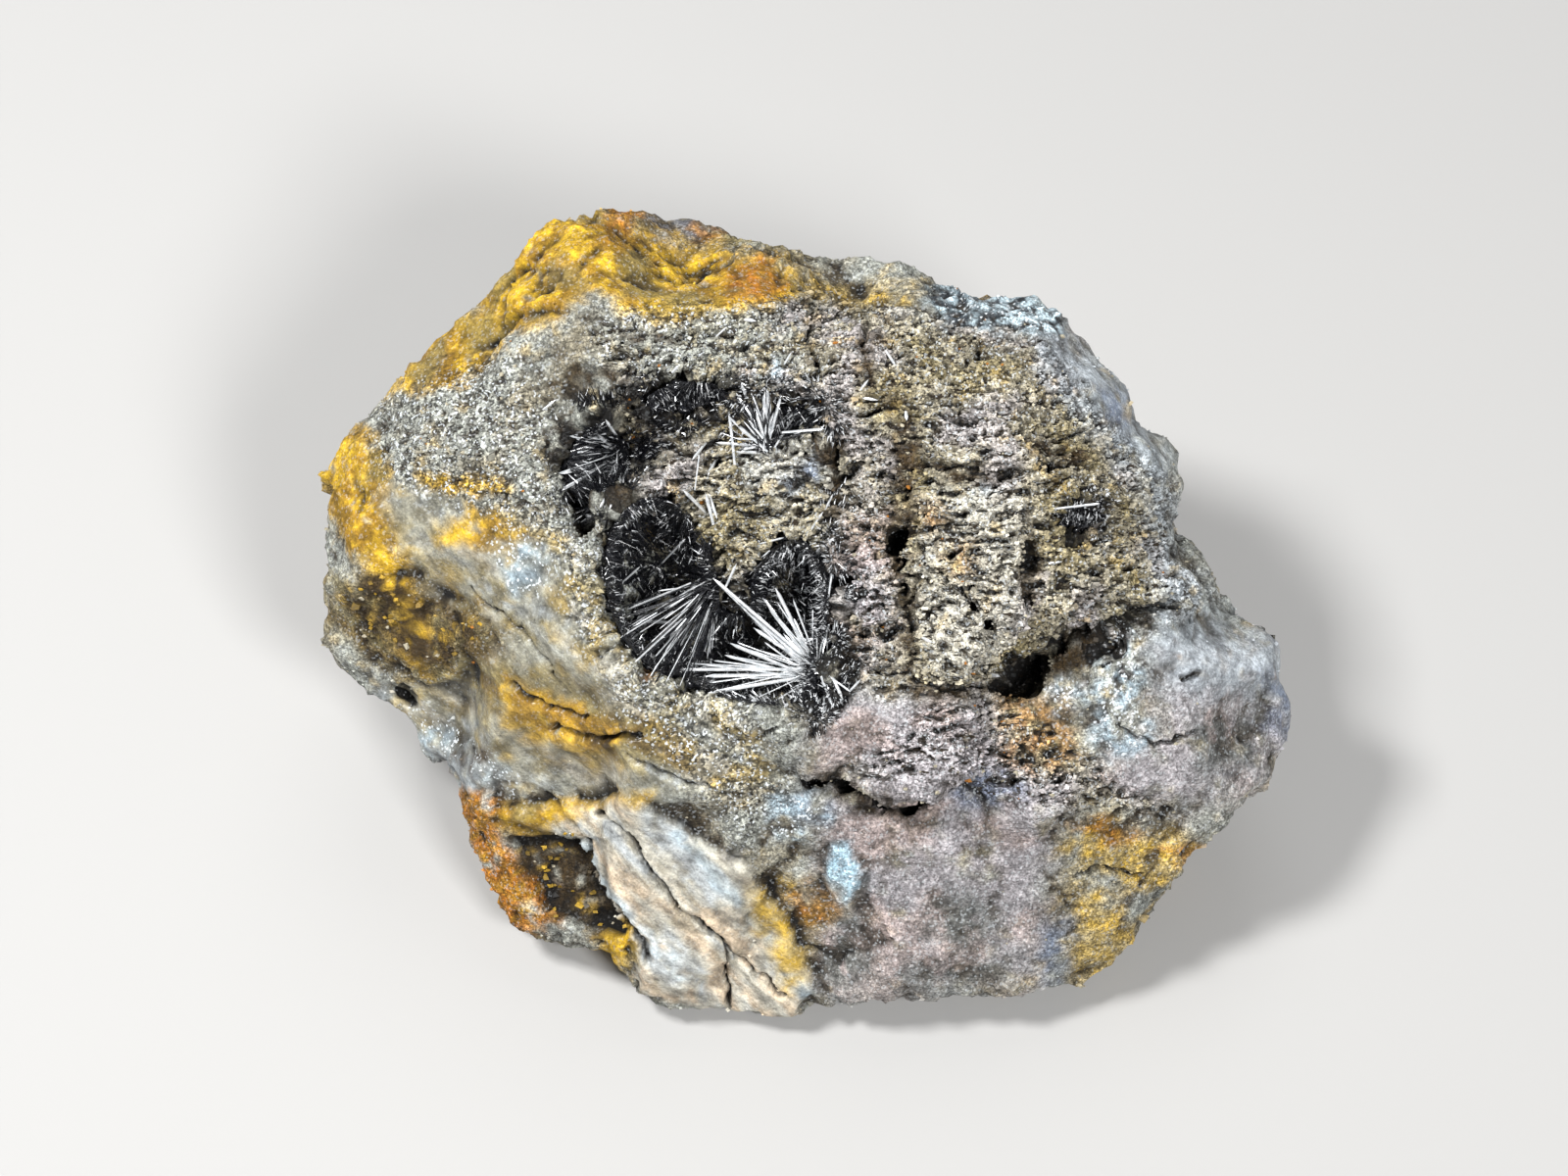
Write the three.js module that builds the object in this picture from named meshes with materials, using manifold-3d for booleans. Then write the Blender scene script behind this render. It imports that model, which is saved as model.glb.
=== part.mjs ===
// A pyrolusite specimen: a hand-sized block of brown and grey manganese and iron ore, broken on every side.
// Its display face leans back, and holds a crystal-lined vug with a spray of long needles, and four small pockets.
// Units are millimetres. +X is the right of the display face, +Y the back, and +Z up from what it rests on.

import * as THREE from "three";
import { mergeVertices } from "three/addons/utils/BufferGeometryUtils.js";
import { ImprovedNoise } from "three/addons/math/ImprovedNoise.js";
import Module from "manifold-3d";

const wasm = await Module();
wasm.setup();

// Driving dimensions
const FACE_LEAN_DEG = 60; // the display face looks up at this angle above the table
const FACE_ORIGIN = [0, -3.5, 24.5]; // the face frame's origin, with the part's own origin under its middle
const WIDEST_LEVEL = -5; // depth in the face frame at which the stone is as wide as its outline
const OUTLINE_MARGIN = 0.7; // what the blending and the facets would else take off the outline
const FRONT_ROUNDING = 14; // radius of the rounding from the outline to the display face
const BACK_DRAFT = 0.1; // inward slope of the sides below the widest level
const BACK_ROUNDING = 70;
const EDGE_SOFTNESS = 1.1; // how far the broken faces blend into each other
const LUMPS = { size: 6, height: 0.75 }; // broken lumps all over the stone
const TEETH = { size: 2.6, height: 0.45 }; // and the small teeth between them
const PLANE_WAVES = 0.8; // how uneven the hidden broken planes are
const CRYSTAL_GAP = 0.4; // clear space that the crystal crusts keep to the stone
const STONE_DETAIL = 13; // subdivisions of the sphere that the stone is shrunk from
const CRUST_EDGE_DEPTH = 1.2; // how far below the display face a crust ends
const RAY_START = 75; // every ray starts this far out, clear of the stone
const SHORTEST_STEP = 0.3;

// The face frame: u to the right, v up along the display face, w out of it.
const lean = THREE.MathUtils.degToRad(FACE_LEAN_DEG);
const faceToTable = new THREE.Matrix4().set(
  1, 0, 0, FACE_ORIGIN[0],
  0, Math.sin(lean), -Math.cos(lean), FACE_ORIGIN[1],
  0, Math.cos(lean), Math.sin(lean), FACE_ORIGIN[2],
  0, 0, 0, 1,
);
const tableToFace = faceToTable.clone().invert();

// The outline of the stone seen square to the display face, [u, v], clockwise from the left shoulder
const OUTLINE = [
  [-43.8, 12.9], [-41.5, 15.5], [-38, 19.5], [-38.1, 22.3], [-36.3, 22.9], [-35.5, 25.1],
  [-31.1, 28], [-29.5, 30.8], [-26, 33.1], [-24.2, 35.8], [-20.5, 37.5], [-18.9, 36.5],
  [-16.5, 37.6], [-14, 37.9], [-11.1, 36.3], [-7.3, 34.9], [-2.9, 33.3], [0.7, 32.6],
  [3.6, 32.6], [7.5, 31.8], [10.3, 30.5], [13.5, 28.7], [17.5, 28.9], [18.9, 28.1],
  [21.6, 28.3], [23.9, 26.4], [26, 24], [29.5, 20.7], [30, 18.5], [31, 16.4],
  [33.9, 15.2], [33.1, 13.8], [34.3, 12.4], [33.6, 10.7], [33.8, 6.5], [36, 4.9],
  [37.1, 2.5], [37.7, -0.8], [40, -1.9], [43.5, -3], [43.4, -4.5], [44.9, -8.1],
  [43.7, -11.3], [43.9, -14.4], [42.9, -16.4], [40.2, -17.3], [38, -20.4], [35.4, -22.1],
  [34, -24.9], [32.5, -26.7], [30.2, -28.6], [27.5, -32.8], [21.6, -34], [19.8, -35.2],
  [18, -34.3], [12.5, -35.7], [10.2, -34.8], [7.5, -34.9], [5.3, -35.9], [2.7, -35.4],
  [1.3, -34.3], [-0.1, -34.4], [-1.9, -36.5], [-3.7, -37.8], [-6.4, -36.4], [-7.2, -35.2],
  [-9.1, -36.1], [-11.7, -36.2], [-14.5, -35.2], [-16.5, -32.7], [-19.6, -31.8],
  [-20.5, -29.6], [-23.6, -30.5], [-25.9, -30.2], [-27.4, -28.1], [-29.9, -22.9],
  [-30.7, -16.9], [-31.8, -13.8], [-33.6, -12.5], [-35.8, -12.4], [-37, -8.9],
  [-41, -6.3], [-44.2, -2.9], [-44.1, 1.3], [-43.5, 4.6], [-44.8, 8.4],
];

// The broken facets of the display face: middle [u, v], height w there, and slope along u and v
const FACETS = [
  { at: [17, 8], height: 13, slope: [-0.05, 0.05] }, // porous block right of the vug
  { at: [7, 21], height: 12, slope: [0, -0.05] },
  { at: [27, 11], height: 10.5, slope: [-0.25, 0] },
  { at: [26, 20], height: 7, slope: [-0.5, -0.35] },
  { at: [33, 2], height: 6.5, slope: [-0.5, 0.1] },
  { at: [7, 2], height: 12, slope: [0.05, 0] },
  { at: [-3, 12], height: 10.5, slope: [0, 0.1] }, // tan shelf above the vug
  { at: [-18, 30], height: 8, slope: [-0.1, -0.55] }, // yellow crest
  { at: [-4, 29], height: 8, slope: [0, -0.6] },
  { at: [-12, 36], height: -5, slope: [0, -0.6] }, // low peak behind the crest
  { at: [2, 32], height: -3, slope: [0, -0.5] },
  { at: [14, 27], height: 7, slope: [-0.1, -0.6] },
  { at: [-31, 18], height: 9, slope: [0.25, -0.1] }, // grey field at the upper left
  { at: [-20, 22], height: 11, slope: [0.05, 0] },
  { at: [-34, 24], height: 2, slope: [0.3, -0.3] }, // yellow ledge below its edge
  { at: [-38, 9], height: 4.5, slope: [0.45, 0] }, // left shoulder
  { at: [-42, 12], height: 1, slope: [0.5, -0.2] },
  { at: [-36, -2], height: 0.5, slope: [0.35, 0.35] },
  { at: [-27, 1], height: 8, slope: [0.3, 0.2] }, // banded rim left of the vug
  { at: [-21, 1], height: 12, slope: [0.3, 0.1] },
  { at: [-12, -10], height: 11, slope: [0.1, 0.35] },
  { at: [-24, -9], height: 6.5, slope: [0.2, 0.4] },
  { at: [-35, -9], height: -4, slope: [0.3, 0.3] },
  { at: [-26, -15], height: 2.5, slope: [0.1, 0.5] },
  { at: [-12, -25], height: 3, slope: [0.05, 0.45] }, // pale slab at the lower left
  { at: [-24, -24], height: -1.5, slope: [0.2, 0.3] },
  { at: [-2, -30], height: 0, slope: [0.2, 0.5] },
  { at: [1, -21], height: 5.5, slope: [0, 0.4] }, // smooth purple face at the lower right
  { at: [12, -23], height: 4.5, slope: [0, 0.42] },
  { at: [29, -24], height: 1, slope: [-0.3, 0.45] },
  { at: [7, -10], height: 11.5, slope: [-0.05, 0.15] },
  { at: [21, -11], height: 7.5, slope: [-0.1, -0.1] }, // recess stained orange
  { at: [30, -12], height: 6.5, slope: [-0.15, 0.25] },
  { at: [37, -7], height: 5, slope: [-0.3, 0.1] }, // lobe at the far right
  { at: [42, -10], height: -1, slope: [-0.7, 0] },
];
const FACET_BLEND = 2.2; // how far neighbouring facets run into each other
const FACET_WANDER = 2; // how far noise bends the edges between facets
const WANDER_SCALE = 7;

// Broken planes on the sides and back that the display face hides: outward direction, and distance from the
// face frame's origin
const HIDDEN_PLANES = [
  { out: [0.12, 0.98, 0.12], reach: 37 },
  { out: [-0.62, 0.78, -0.05], reach: 39 },
  { out: [0.6, 0.79, 0.02], reach: 34.5 },
  { out: [0.1, 0.9, -0.42], reach: 39 },
  { out: [-0.9, 0, -0.43], reach: 42.5 },
  { out: [0.9, 0.05, -0.43], reach: 44 },
  { out: [-0.55, 0.68, -0.48], reach: 41 },
  { out: [-0.62, -0.62, -0.48], reach: 41 },
  { out: [0.92, 0.3, -0.25], reach: 42 },
  { out: [-0.93, 0.3, -0.2], reach: 43.5 },
  { out: [0.51, 0.61, -0.61], reach: 36.5 },
  { out: [-0.3, 0.7, -0.65], reach: 37 },
  { out: [0.35, 0.92, -0.2], reach: 34.5 },
  { out: [-0.25, 0.96, -0.1], reach: 37.5 },
];

// The vug and pockets: middle [u, v] and how far it lies below the display face, half sizes along u, v and w,
// and turn in the plane of the face
const VUG = [
  { at: [-13, 2.6], sink: 3.4, half: [6.2, 9.2, 8.4], turn: 12 },
  { at: [-1.6, 0.4], sink: 2.4, half: [5, 7.6, 7.4], turn: -8 },
  { at: [-6.8, -3.8], sink: 2.8, half: [9.4, 4.8, 7.6], turn: -22 },
];
const LEFT_POCKET = [{ at: [-18.9, 13.6], sink: 0.8, half: [3.8, 4.4, 4.4], turn: -20 }];
const UPPER_POCKET = [{ at: [-10.9, 19.7], sink: 0.4, half: [4.6, 2.4, 3.4], turn: 8 }];
const SHELF_POCKET = [{ at: [-1.6, 17.6], sink: 0.6, half: [4, 2.4, 3.8], turn: -6 }];
const RIGHT_POCKET = [{ at: [25.2, 8.8], sink: 0.2, half: [3.4, 2.1, 3], turn: 5 }];

// Cracks and holes that only cut the stone: the same, with half sizes along the crack, across it and inward
const CREVICES = [
  { at: [9, 4.2], sink: 0, half: [4.6, 0.9, 4], turn: 105 },
  { at: [20.8, 4], sink: 0, half: [3.2, 0.8, 4], turn: 92 },
  { at: [16.4, -0.2], sink: 0.2, half: [2.2, 1.1, 3.6], turn: -35 },
  { at: [19.8, -6.6], sink: 1, half: [3.2, 2, 4.6], turn: 25 },
  { at: [26.4, -3.4], sink: 0, half: [5.4, 0.9, 4.4], turn: 22 },
  { at: [7.8, -17.6], sink: 0.4, half: [4.4, 1.2, 4.4], turn: 8 },
  { at: [1.8, -15.6], sink: 0.2, half: [3, 1, 3.6], turn: 12 },
  { at: [12, -10.6], sink: 0, half: [1.8, 0.7, 2.6], turn: 5 },
  { at: [-13.6, -24.4], sink: 0, half: [8.6, 0.5, 2.6], turn: -55 },
  { at: [-37.6, -7.6], sink: 0.4, half: [2.4, 1.3, 3.4], turn: -40 },
  { at: [-21, 9], sink: 0.2, half: [1.7, 1.9, 3.6], turn: 0 },
];

// The porous face right of the vug: its corners [u, v], and its scattered pits, longer across than up
const POROUS_FACE = { from: [-1, -6], to: [31, 27] };
const PIT_COUNT = 20;
const PIT_HALF = [1.5, 0.75, 1.7];

// The big spray of long needles at the lower right of the vug: root and tips, each [u, v] and depth below the face
const SPRAY_ROOT = [1.2, -5.4, 3.2];
const SPRAY_TIPS = [
  [-8.4, 3.2, 1.2], [-5.8, 0.6, 2.6], [-4.8, -1.2, 3.4], [-6.9, -2.6, 2.4], [-7.4, -3.7, 3.6],
  [-11.9, -5, 1.4], [-9.2, -5.6, 2.2], [-8.9, -7.1, 0.6], [-2.8, 2.4, 2.2], [-3.5, 0.8, 3.8],
  [-1.1, -0.4, 1], [2.3, 3.6, 1.2], [-2.9, -10.4, 0.2], [0.4, -8.8, 0.6], [1.7, 0.4, 2.2],
];
const SPRAY_WIDTH = 0.65;
const NEEDLE_SIDES = 4;

// Needle clusters: root [u, v] and depth, the way the middle needle points, how far the others spread, and sizes
const VUG_NEEDLES = [
  { root: [-8.6, -2, 10], toward: [-0.3, -0.1, 0.9], spread: 0.9, count: 6, length: [3.5, 6.5], width: 0.8 },
  { root: [-14.5, 3.5, 10.6], toward: [0.1, 0, 1], spread: 0.9, count: 6, length: [3, 4.5], width: 0.8 },
  { root: [-9.6, 0.8, 8], toward: [-0.6, -0.6, 0.6], spread: 0.4, count: 5, length: [4, 6], width: 0.7 },
  { root: [-2, 2.5, 8.8], toward: [-0.1, 0.1, 1], spread: 0.9, count: 5, length: [3, 5], width: 0.8 },
];
const LEFT_POCKET_NEEDLES = [
  { root: [-17.4, 14.6, 3.6], toward: [-0.7, -0.5, 0.7], spread: 0.7, count: 8, length: [2.5, 5], width: 0.5 },
];
const UPPER_POCKET_NEEDLES = [
  { root: [-10.6, 19.6, 3], toward: [0, 0, 1], spread: 1.1, count: 7, length: [1.6, 2.8], width: 0.5 },
];
const SHELF_POCKET_NEEDLES = [
  { root: [-3.2, 16.6, 3], toward: [-0.1, 0.7, 0.8], spread: 0.6, count: 8, length: [3, 5], width: 0.55 },
];
const RIGHT_POCKET_NEEDLES = [
  { root: [25.2, 8.8, 2.4], toward: [0, 0.1, 1], spread: 1.1, count: 6, length: [1.2, 2.2], width: 0.45 },
];

const noise = new ImprovedNoise();
const clamp = THREE.MathUtils.clamp;

// Sum of two octaves of noise, about -1 to 1
function roughness(point, scale, offset = 0) {
  const [x, y, z] = [point.x / scale + offset, point.y / scale, point.z / scale];
  return noise.noise(x, y, z) + 0.5 * noise.noise(2.1 * x, 2.1 * y, 2.1 * z + 7);
}

// The larger of two values, with the crease between them rounded over a width k
function softMax(a, b, k) {
  const h = clamp(0.5 + (0.5 * (a - b)) / k, 0, 1);
  return b + (a - b) * h + k * h * (1 - h);
}

// Distance to the outline in the plane of the face, negative inside
function outlineDistance(u, v) {
  let nearest = Infinity;
  let inside = false;
  for (let i = 0, j = OUTLINE.length - 1; i < OUTLINE.length; j = i, i += 1) {
    const [ax, ay] = OUTLINE[j];
    const [bx, by] = OUTLINE[i];
    const [ex, ey] = [bx - ax, by - ay];
    const t = clamp(((u - ax) * ex + (v - ay) * ey) / (ex * ex + ey * ey), 0, 1);
    nearest = Math.min(nearest, Math.hypot(u - ax - t * ex, v - ay - t * ey));
    if (ay > v !== by > v && u < ax + ((v - ay) / ey) * ex) inside = !inside;
  }
  return inside ? -nearest : nearest;
}

// Height of the display face: each facet's own plane, blended narrowly into its neighbours
function faceHeight(u, v) {
  const bentU = u + FACET_WANDER * noise.noise(u / WANDER_SCALE, v / WANDER_SCALE, 3);
  const bentV = v + FACET_WANDER * noise.noise(u / WANDER_SCALE, v / WANDER_SCALE, 11);
  let total = 0;
  let weights = 1e-12;
  for (const { at, height, slope } of FACETS) {
    const [du, dv] = [bentU - at[0], bentV - at[1]];
    const weight = Math.exp(-(du * du + dv * dv) / (2 * FACET_BLEND * FACET_BLEND));
    total += weight * (height + slope[0] * (u - at[0]) + slope[1] * (v - at[1]));
    weights += weight;
  }
  return total / weights;
}

// A point [u, v, w] of the face frame, given by its depth below the display face
const sunk = ([u, v, depth]) => new THREE.Vector3(u, v, faceHeight(u, v) - depth);

const facePoint = new THREE.Vector3();
const fromOrigin = new THREE.Vector3();

// Negative inside the stone before anything is cut into it, positive outside; the point is in the part's frame
function stoneField(point) {
  const { x: u, y: v, z: w } = facePoint.copy(point).applyMatrix4(tableToFace);
  const above = w - WIDEST_LEVEL;
  const inset = above > 0
    ? (above * above) / (2 * FRONT_ROUNDING)
    : -BACK_DRAFT * above + (above * above) / (2 * BACK_ROUNDING);
  const side = outlineDistance(u, v) - OUTLINE_MARGIN + inset;
  let field = softMax(side, 0.85 * (w - faceHeight(u, v)), EDGE_SOFTNESS);
  fromOrigin.set(point.x - FACE_ORIGIN[0], point.y - FACE_ORIGIN[1], point.z - FACE_ORIGIN[2]);
  for (const { out, reach } of HIDDEN_PLANES) {
    const beyond = fromOrigin.x * out[0] + fromOrigin.y * out[1] + fromOrigin.z * out[2] - reach;
    field = softMax(field, beyond + PLANE_WAVES * roughness(fromOrigin, 9, reach), EDGE_SOFTNESS);
  }
  field += LUMPS.height * roughness(fromOrigin, LUMPS.size);
  field += TEETH.height * roughness(fromOrigin, TEETH.size, 5);
  return Math.max(field, -point.z);
}

// The same surface with each point stored once
function sharedPoints(geometry) {
  geometry.deleteAttribute("normal");
  geometry.deleteAttribute("uv");
  return mergeVertices(geometry, 1e-4);
}

// A closed mesh as a manifold-3d solid, and back
function toSolid(geometry) {
  const merged = sharedPoints(geometry);
  return new wasm.Manifold(new wasm.Mesh({
    numProp: 3,
    vertProperties: merged.attributes.position.array,
    triVerts: new Uint32Array(merged.index.array),
  }));
}

function toGeometry(solid) {
  const mesh = solid.getMesh();
  const positions = new Float32Array(mesh.numVert * 3);
  for (let i = 0; i < mesh.numVert; i += 1) {
    positions.set(mesh.vertProperties.subarray(i * mesh.numProp, i * mesh.numProp + 3), i * 3);
  }
  const geometry = new THREE.BufferGeometry();
  geometry.setAttribute("position", new THREE.BufferAttribute(positions, 3));
  geometry.setIndex(new THREE.BufferAttribute(new Uint32Array(mesh.triVerts), 1));
  geometry.computeVertexNormals();
  return geometry;
}

// The stone's outside: a sphere whose points are pulled in along rays until they meet the field
function stoneBody() {
  const middle = new THREE.Vector3(1, -1, -7).applyMatrix4(faceToTable);
  const stretch = new THREE.Vector3(45, 35, 24); // spreads the points evenly over a long, flat stone
  const towardFace = new THREE.Vector3(0, 0, 7).transformDirection(faceToTable).multiplyScalar(7);
  const geometry = sharedPoints(new THREE.IcosahedronGeometry(1, STONE_DETAIL));
  const position = geometry.attributes.position;
  const ray = new THREE.Vector3();
  const point = new THREE.Vector3();
  for (let i = 0; i < position.count; i += 1) {
    ray.fromBufferAttribute(position, i).multiply(stretch).add(towardFace).normalize();
    let outside = RAY_START;
    let inside = RAY_START;
    let field = stoneField(point.copy(middle).addScaledVector(ray, inside));
    while (field > 0) {
      outside = inside;
      inside -= Math.max(SHORTEST_STEP, 0.4 * field);
      field = stoneField(point.copy(middle).addScaledVector(ray, inside));
    }
    for (let halving = 0; halving < 12; halving += 1) {
      const half = (inside + outside) / 2;
      if (stoneField(point.copy(middle).addScaledVector(ray, half)) > 0) outside = half;
      else inside = half;
    }
    point.copy(middle).addScaledVector(ray, inside);
    position.setXYZ(i, point.x, point.y, Math.abs(point.z) < 0.01 ? 0 : point.z);
  }
  return toSolid(geometry);
}

// A lumpy egg-shaped hollow, its walls moved inward by an inset
function hollow({ at, sink, half, turn }, detail, inset = 0) {
  const geometry = new THREE.IcosahedronGeometry(1, detail);
  const position = geometry.attributes.position;
  const point = new THREE.Vector3();
  for (let i = 0; i < position.count; i += 1) {
    point.fromBufferAttribute(position, i);
    point.multiplyScalar(1 + 0.12 * noise.noise(2 * point.x + at[0], 2 * point.y + at[1], 2 * point.z));
    position.setXYZ(i, point.x, point.y, point.z);
  }
  const place = new THREE.Matrix4().makeTranslation(sunk([...at, sink]))
    .multiply(new THREE.Matrix4().makeRotationZ(THREE.MathUtils.degToRad(turn)))
    .multiply(new THREE.Matrix4().makeScale(...half.map((h) => h - inset)));
  return toSolid(geometry.applyMatrix4(place.premultiply(faceToTable)));
}

const joined = (solids) => solids.reduce((a, b) => a.add(b));
const hollows = (list, detail, inset) => joined(list.map((one) => hollow(one, detail, inset)));

// A repeatable stream of numbers from 0 to 1
function randomStream(seed) {
  let state = seed;
  return () => {
    state = (state * 16807) % 2147483647;
    return state / 2147483647;
  };
}

// Pits scattered over the porous face, each sunk into the surface where it falls
function pits() {
  const random = randomStream(41);
  const { from, to } = POROUS_FACE;
  return Array.from({ length: PIT_COUNT }, () => {
    const u = from[0] + (to[0] - from[0]) * random();
    const v = from[1] + (to[1] - from[1]) * random();
    const size = 0.7 + 0.6 * random();
    return { at: [u, v], sink: 0.6, half: PIT_HALF.map((h) => h * size), turn: 30 * random() - 20 };
  });
}

// One needle crystal from root to tip in the face frame: a flat-sided prism that ends in a blunt point
function needle(root, tip, width) {
  const way = tip.clone().sub(root);
  const length = way.length();
  const half = width / 2;
  const profile = [[0, 0], [half, 0.3 * half], [half, length - 2 * half], [0, length]];
  const geometry = new THREE.LatheGeometry(profile.map(([r, y]) => new THREE.Vector2(r, y)), NEEDLE_SIDES);
  const turn = new THREE.Quaternion().setFromUnitVectors(new THREE.Vector3(0, 1, 0), way.normalize());
  const place = new THREE.Matrix4().compose(root, turn, new THREE.Vector3(1, 1, 1));
  return toSolid(geometry.applyMatrix4(place.premultiply(faceToTable)));
}

const spray = () => SPRAY_TIPS.map((tip) => needle(sunk(SPRAY_ROOT), sunk(tip), SPRAY_WIDTH));

// Needles that fan out at random from one root
function needleCluster({ root, toward, spread, count, length, width }, seed) {
  const random = randomStream(seed);
  const start = sunk(root);
  return Array.from({ length: count }, () => {
    const way = new THREE.Vector3(...toward).normalize();
    way.x += spread * (2 * random() - 1);
    way.y += spread * (2 * random() - 1);
    way.z += 0.5 * spread * (2 * random() - 1);
    way.setLength(length[0] + (length[1] - length[0]) * random());
    return needle(start, way.add(start), width * (0.7 + 0.6 * random()));
  });
}

// A crust of crystals: a bowl on the hollow's floor with needles on it, kept clear of the stone
function crystalCrust(body, list, needles, thickness) {
  const outOfFace = (distance) => [0, -distance * Math.cos(lean), distance * Math.sin(lean)];
  const lining = hollows(list, 1, CRYSTAL_GAP);
  const bowl = lining
    .intersect(body.translate(outOfFace(-CRUST_EDGE_DEPTH)))
    .subtract(hollows(list, 1).translate(outOfFace(thickness)));
  const nearStone = body.translate(outOfFace(CRYSTAL_GAP)).subtract(lining);
  const crust = bowl.add(joined(needles).subtract(nearStone));
  return crust.decompose().reduce((a, b) => (a.volume() > b.volume() ? a : b));
}

function namedMesh(name, solid, colour, roughnessValue, metalness) {
  const material = new THREE.MeshStandardMaterial({ color: colour, roughness: roughnessValue, metalness });
  const mesh = new THREE.Mesh(toGeometry(solid), material);
  mesh.name = name;
  return mesh;
}

const body = stoneBody();
const pockets = [
  { name: "vug_crystals", list: VUG, clusters: VUG_NEEDLES, extra: spray(), thickness: 1.6 },
  { name: "left_pocket_crystals", list: LEFT_POCKET, clusters: LEFT_POCKET_NEEDLES, thickness: 1.3 },
  { name: "upper_pocket_crystals", list: UPPER_POCKET, clusters: UPPER_POCKET_NEEDLES, thickness: 1.2 },
  { name: "shelf_pocket_crystals", list: SHELF_POCKET, clusters: SHELF_POCKET_NEEDLES, thickness: 1.2 },
  { name: "right_pocket_crystals", list: RIGHT_POCKET, clusters: RIGHT_POCKET_NEEDLES, thickness: 1.1 },
];
const cuts = pockets.map(({ list }) => hollows(list, list === VUG ? 2 : 1));
const stone = body.subtract(joined([...cuts, hollows([...CREVICES, ...pits()], 0)]));

const group = new THREE.Group();
group.add(namedMesh("stone", stone, 0x7d705e, 0.85, 0));
pockets.forEach(({ name, list, clusters, extra = [], thickness }, i) => {
  const needles = clusters.flatMap((cluster, k) => needleCluster(cluster, 100 * (i + 1) + k));
  const crust = crystalCrust(body, list, [...extra, ...needles], thickness);
  group.add(namedMesh(name, crust, 0x2a2e36, 0.3, 0.6));
});
export default group;
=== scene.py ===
import math
from itertools import product

import bmesh
import bpy
import numpy as np
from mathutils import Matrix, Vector
from mathutils.bvhtree import BVHTree


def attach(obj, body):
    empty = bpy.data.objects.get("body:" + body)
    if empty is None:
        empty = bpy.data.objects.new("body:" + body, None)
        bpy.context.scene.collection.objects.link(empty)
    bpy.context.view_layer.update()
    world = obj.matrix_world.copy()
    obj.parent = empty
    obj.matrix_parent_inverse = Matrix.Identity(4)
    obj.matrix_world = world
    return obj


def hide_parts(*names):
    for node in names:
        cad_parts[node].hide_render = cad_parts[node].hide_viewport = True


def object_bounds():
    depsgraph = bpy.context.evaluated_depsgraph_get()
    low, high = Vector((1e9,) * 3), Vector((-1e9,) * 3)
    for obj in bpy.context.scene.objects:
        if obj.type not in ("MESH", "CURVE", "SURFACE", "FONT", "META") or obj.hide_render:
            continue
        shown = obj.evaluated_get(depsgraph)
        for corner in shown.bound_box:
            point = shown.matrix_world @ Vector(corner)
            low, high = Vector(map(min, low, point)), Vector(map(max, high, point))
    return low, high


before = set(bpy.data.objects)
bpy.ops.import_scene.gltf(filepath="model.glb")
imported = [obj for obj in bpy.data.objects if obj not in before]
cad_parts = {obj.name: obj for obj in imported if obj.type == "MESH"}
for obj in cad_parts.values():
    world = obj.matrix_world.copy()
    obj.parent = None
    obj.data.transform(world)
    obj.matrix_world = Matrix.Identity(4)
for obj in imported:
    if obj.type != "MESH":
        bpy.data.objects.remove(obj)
cad_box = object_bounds()

# Lengths are in millimetres until a mesh is made, which is in metres.
MM = 0.001

# The face frame: u to the right, v up along the display face, w out of it
FACE_LEAN = math.radians(60)
FACE_ORIGIN = np.array((0, -3.5, 24.5))
FACE_AXES = np.array((
    (1, 0, 0),
    (0, math.sin(FACE_LEAN), math.cos(FACE_LEAN)),
    (0, -math.cos(FACE_LEAN), math.sin(FACE_LEAN)),
))

# The camera looks square at the display face, so a place on it is also a pixel of the 1600 x 1200 photograph.
PIXELS_PER_MM = 11
PHOTO_SIZE = (1600, 1200)
CAMERA_AIM = (-2, 2.36)
CAMERA_DISTANCE = 400
SENSOR_WIDTH = 36

# The stone's mesh: voxel size, how square to the camera a face of the rough ground is before it is divided,
# how far from a crack that goes too, in pixels, and how many triangles are kept in the end
STONE_VOXEL = 0.54
FINE_FACING = 0.25
CRACK_REACH = 12
STONE_TRIANGLES = 197000
SMOOTHING_ROUNDS = 3
OVERSIZE = 0.8  # the most that the relief stands past the CAD box
CRUMB_COUNT = 15000

# The hollows of the CAD model in the face frame: middle, half sizes, and turn in the plane of the face
HOLLOWS = {
    "vug_crystals": [
        ((-13, 2.6, 11.2), (6.2, 9.2, 8.4), 12),
        ((-1.6, 0.4, 9.2), (5, 7.6, 7.4), -8),
        ((-6.8, -3.8, 10.9), (9.4, 4.8, 7.6), -22),
    ],
    "left_pocket_crystals": [((-18.9, 13.6, 10.3), (3.8, 4.4, 4.4), -20)],
    "upper_pocket_crystals": [((-10.9, 19.7, 11.1), (4.6, 2.4, 3.4), 8)],
    "shelf_pocket_crystals": [((-1.6, 17.6, 10.5), (4, 2.4, 3.8), -6)],
    "right_pocket_crystals": [((25.2, 8.8, 10.8), (3.4, 2.1, 3), 5)],
}
GLINTING_SHARE = 1 / 11  # of a mat's needles, those with a silver tip as a painted glint
GLINTING_SIDE = (720, 800)  # pixels between which that share rises to the right
BRINK_LENGTH = 0.65  # how long the mat's needles on the brink are against those inside
CRUST_INSET = 1.2  # from a hollow's wall to the crust that the needles stand on
CRUST_BACKING = 2.6  # the stone lies no further than this behind the crust
CRUST_EDGE = 1.8  # how far the crust ends below the hollow's brink
CRUST_THICKNESS = 0.5
CRUST_LUMPS = 0.35  # height of the crust's lumps

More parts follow.
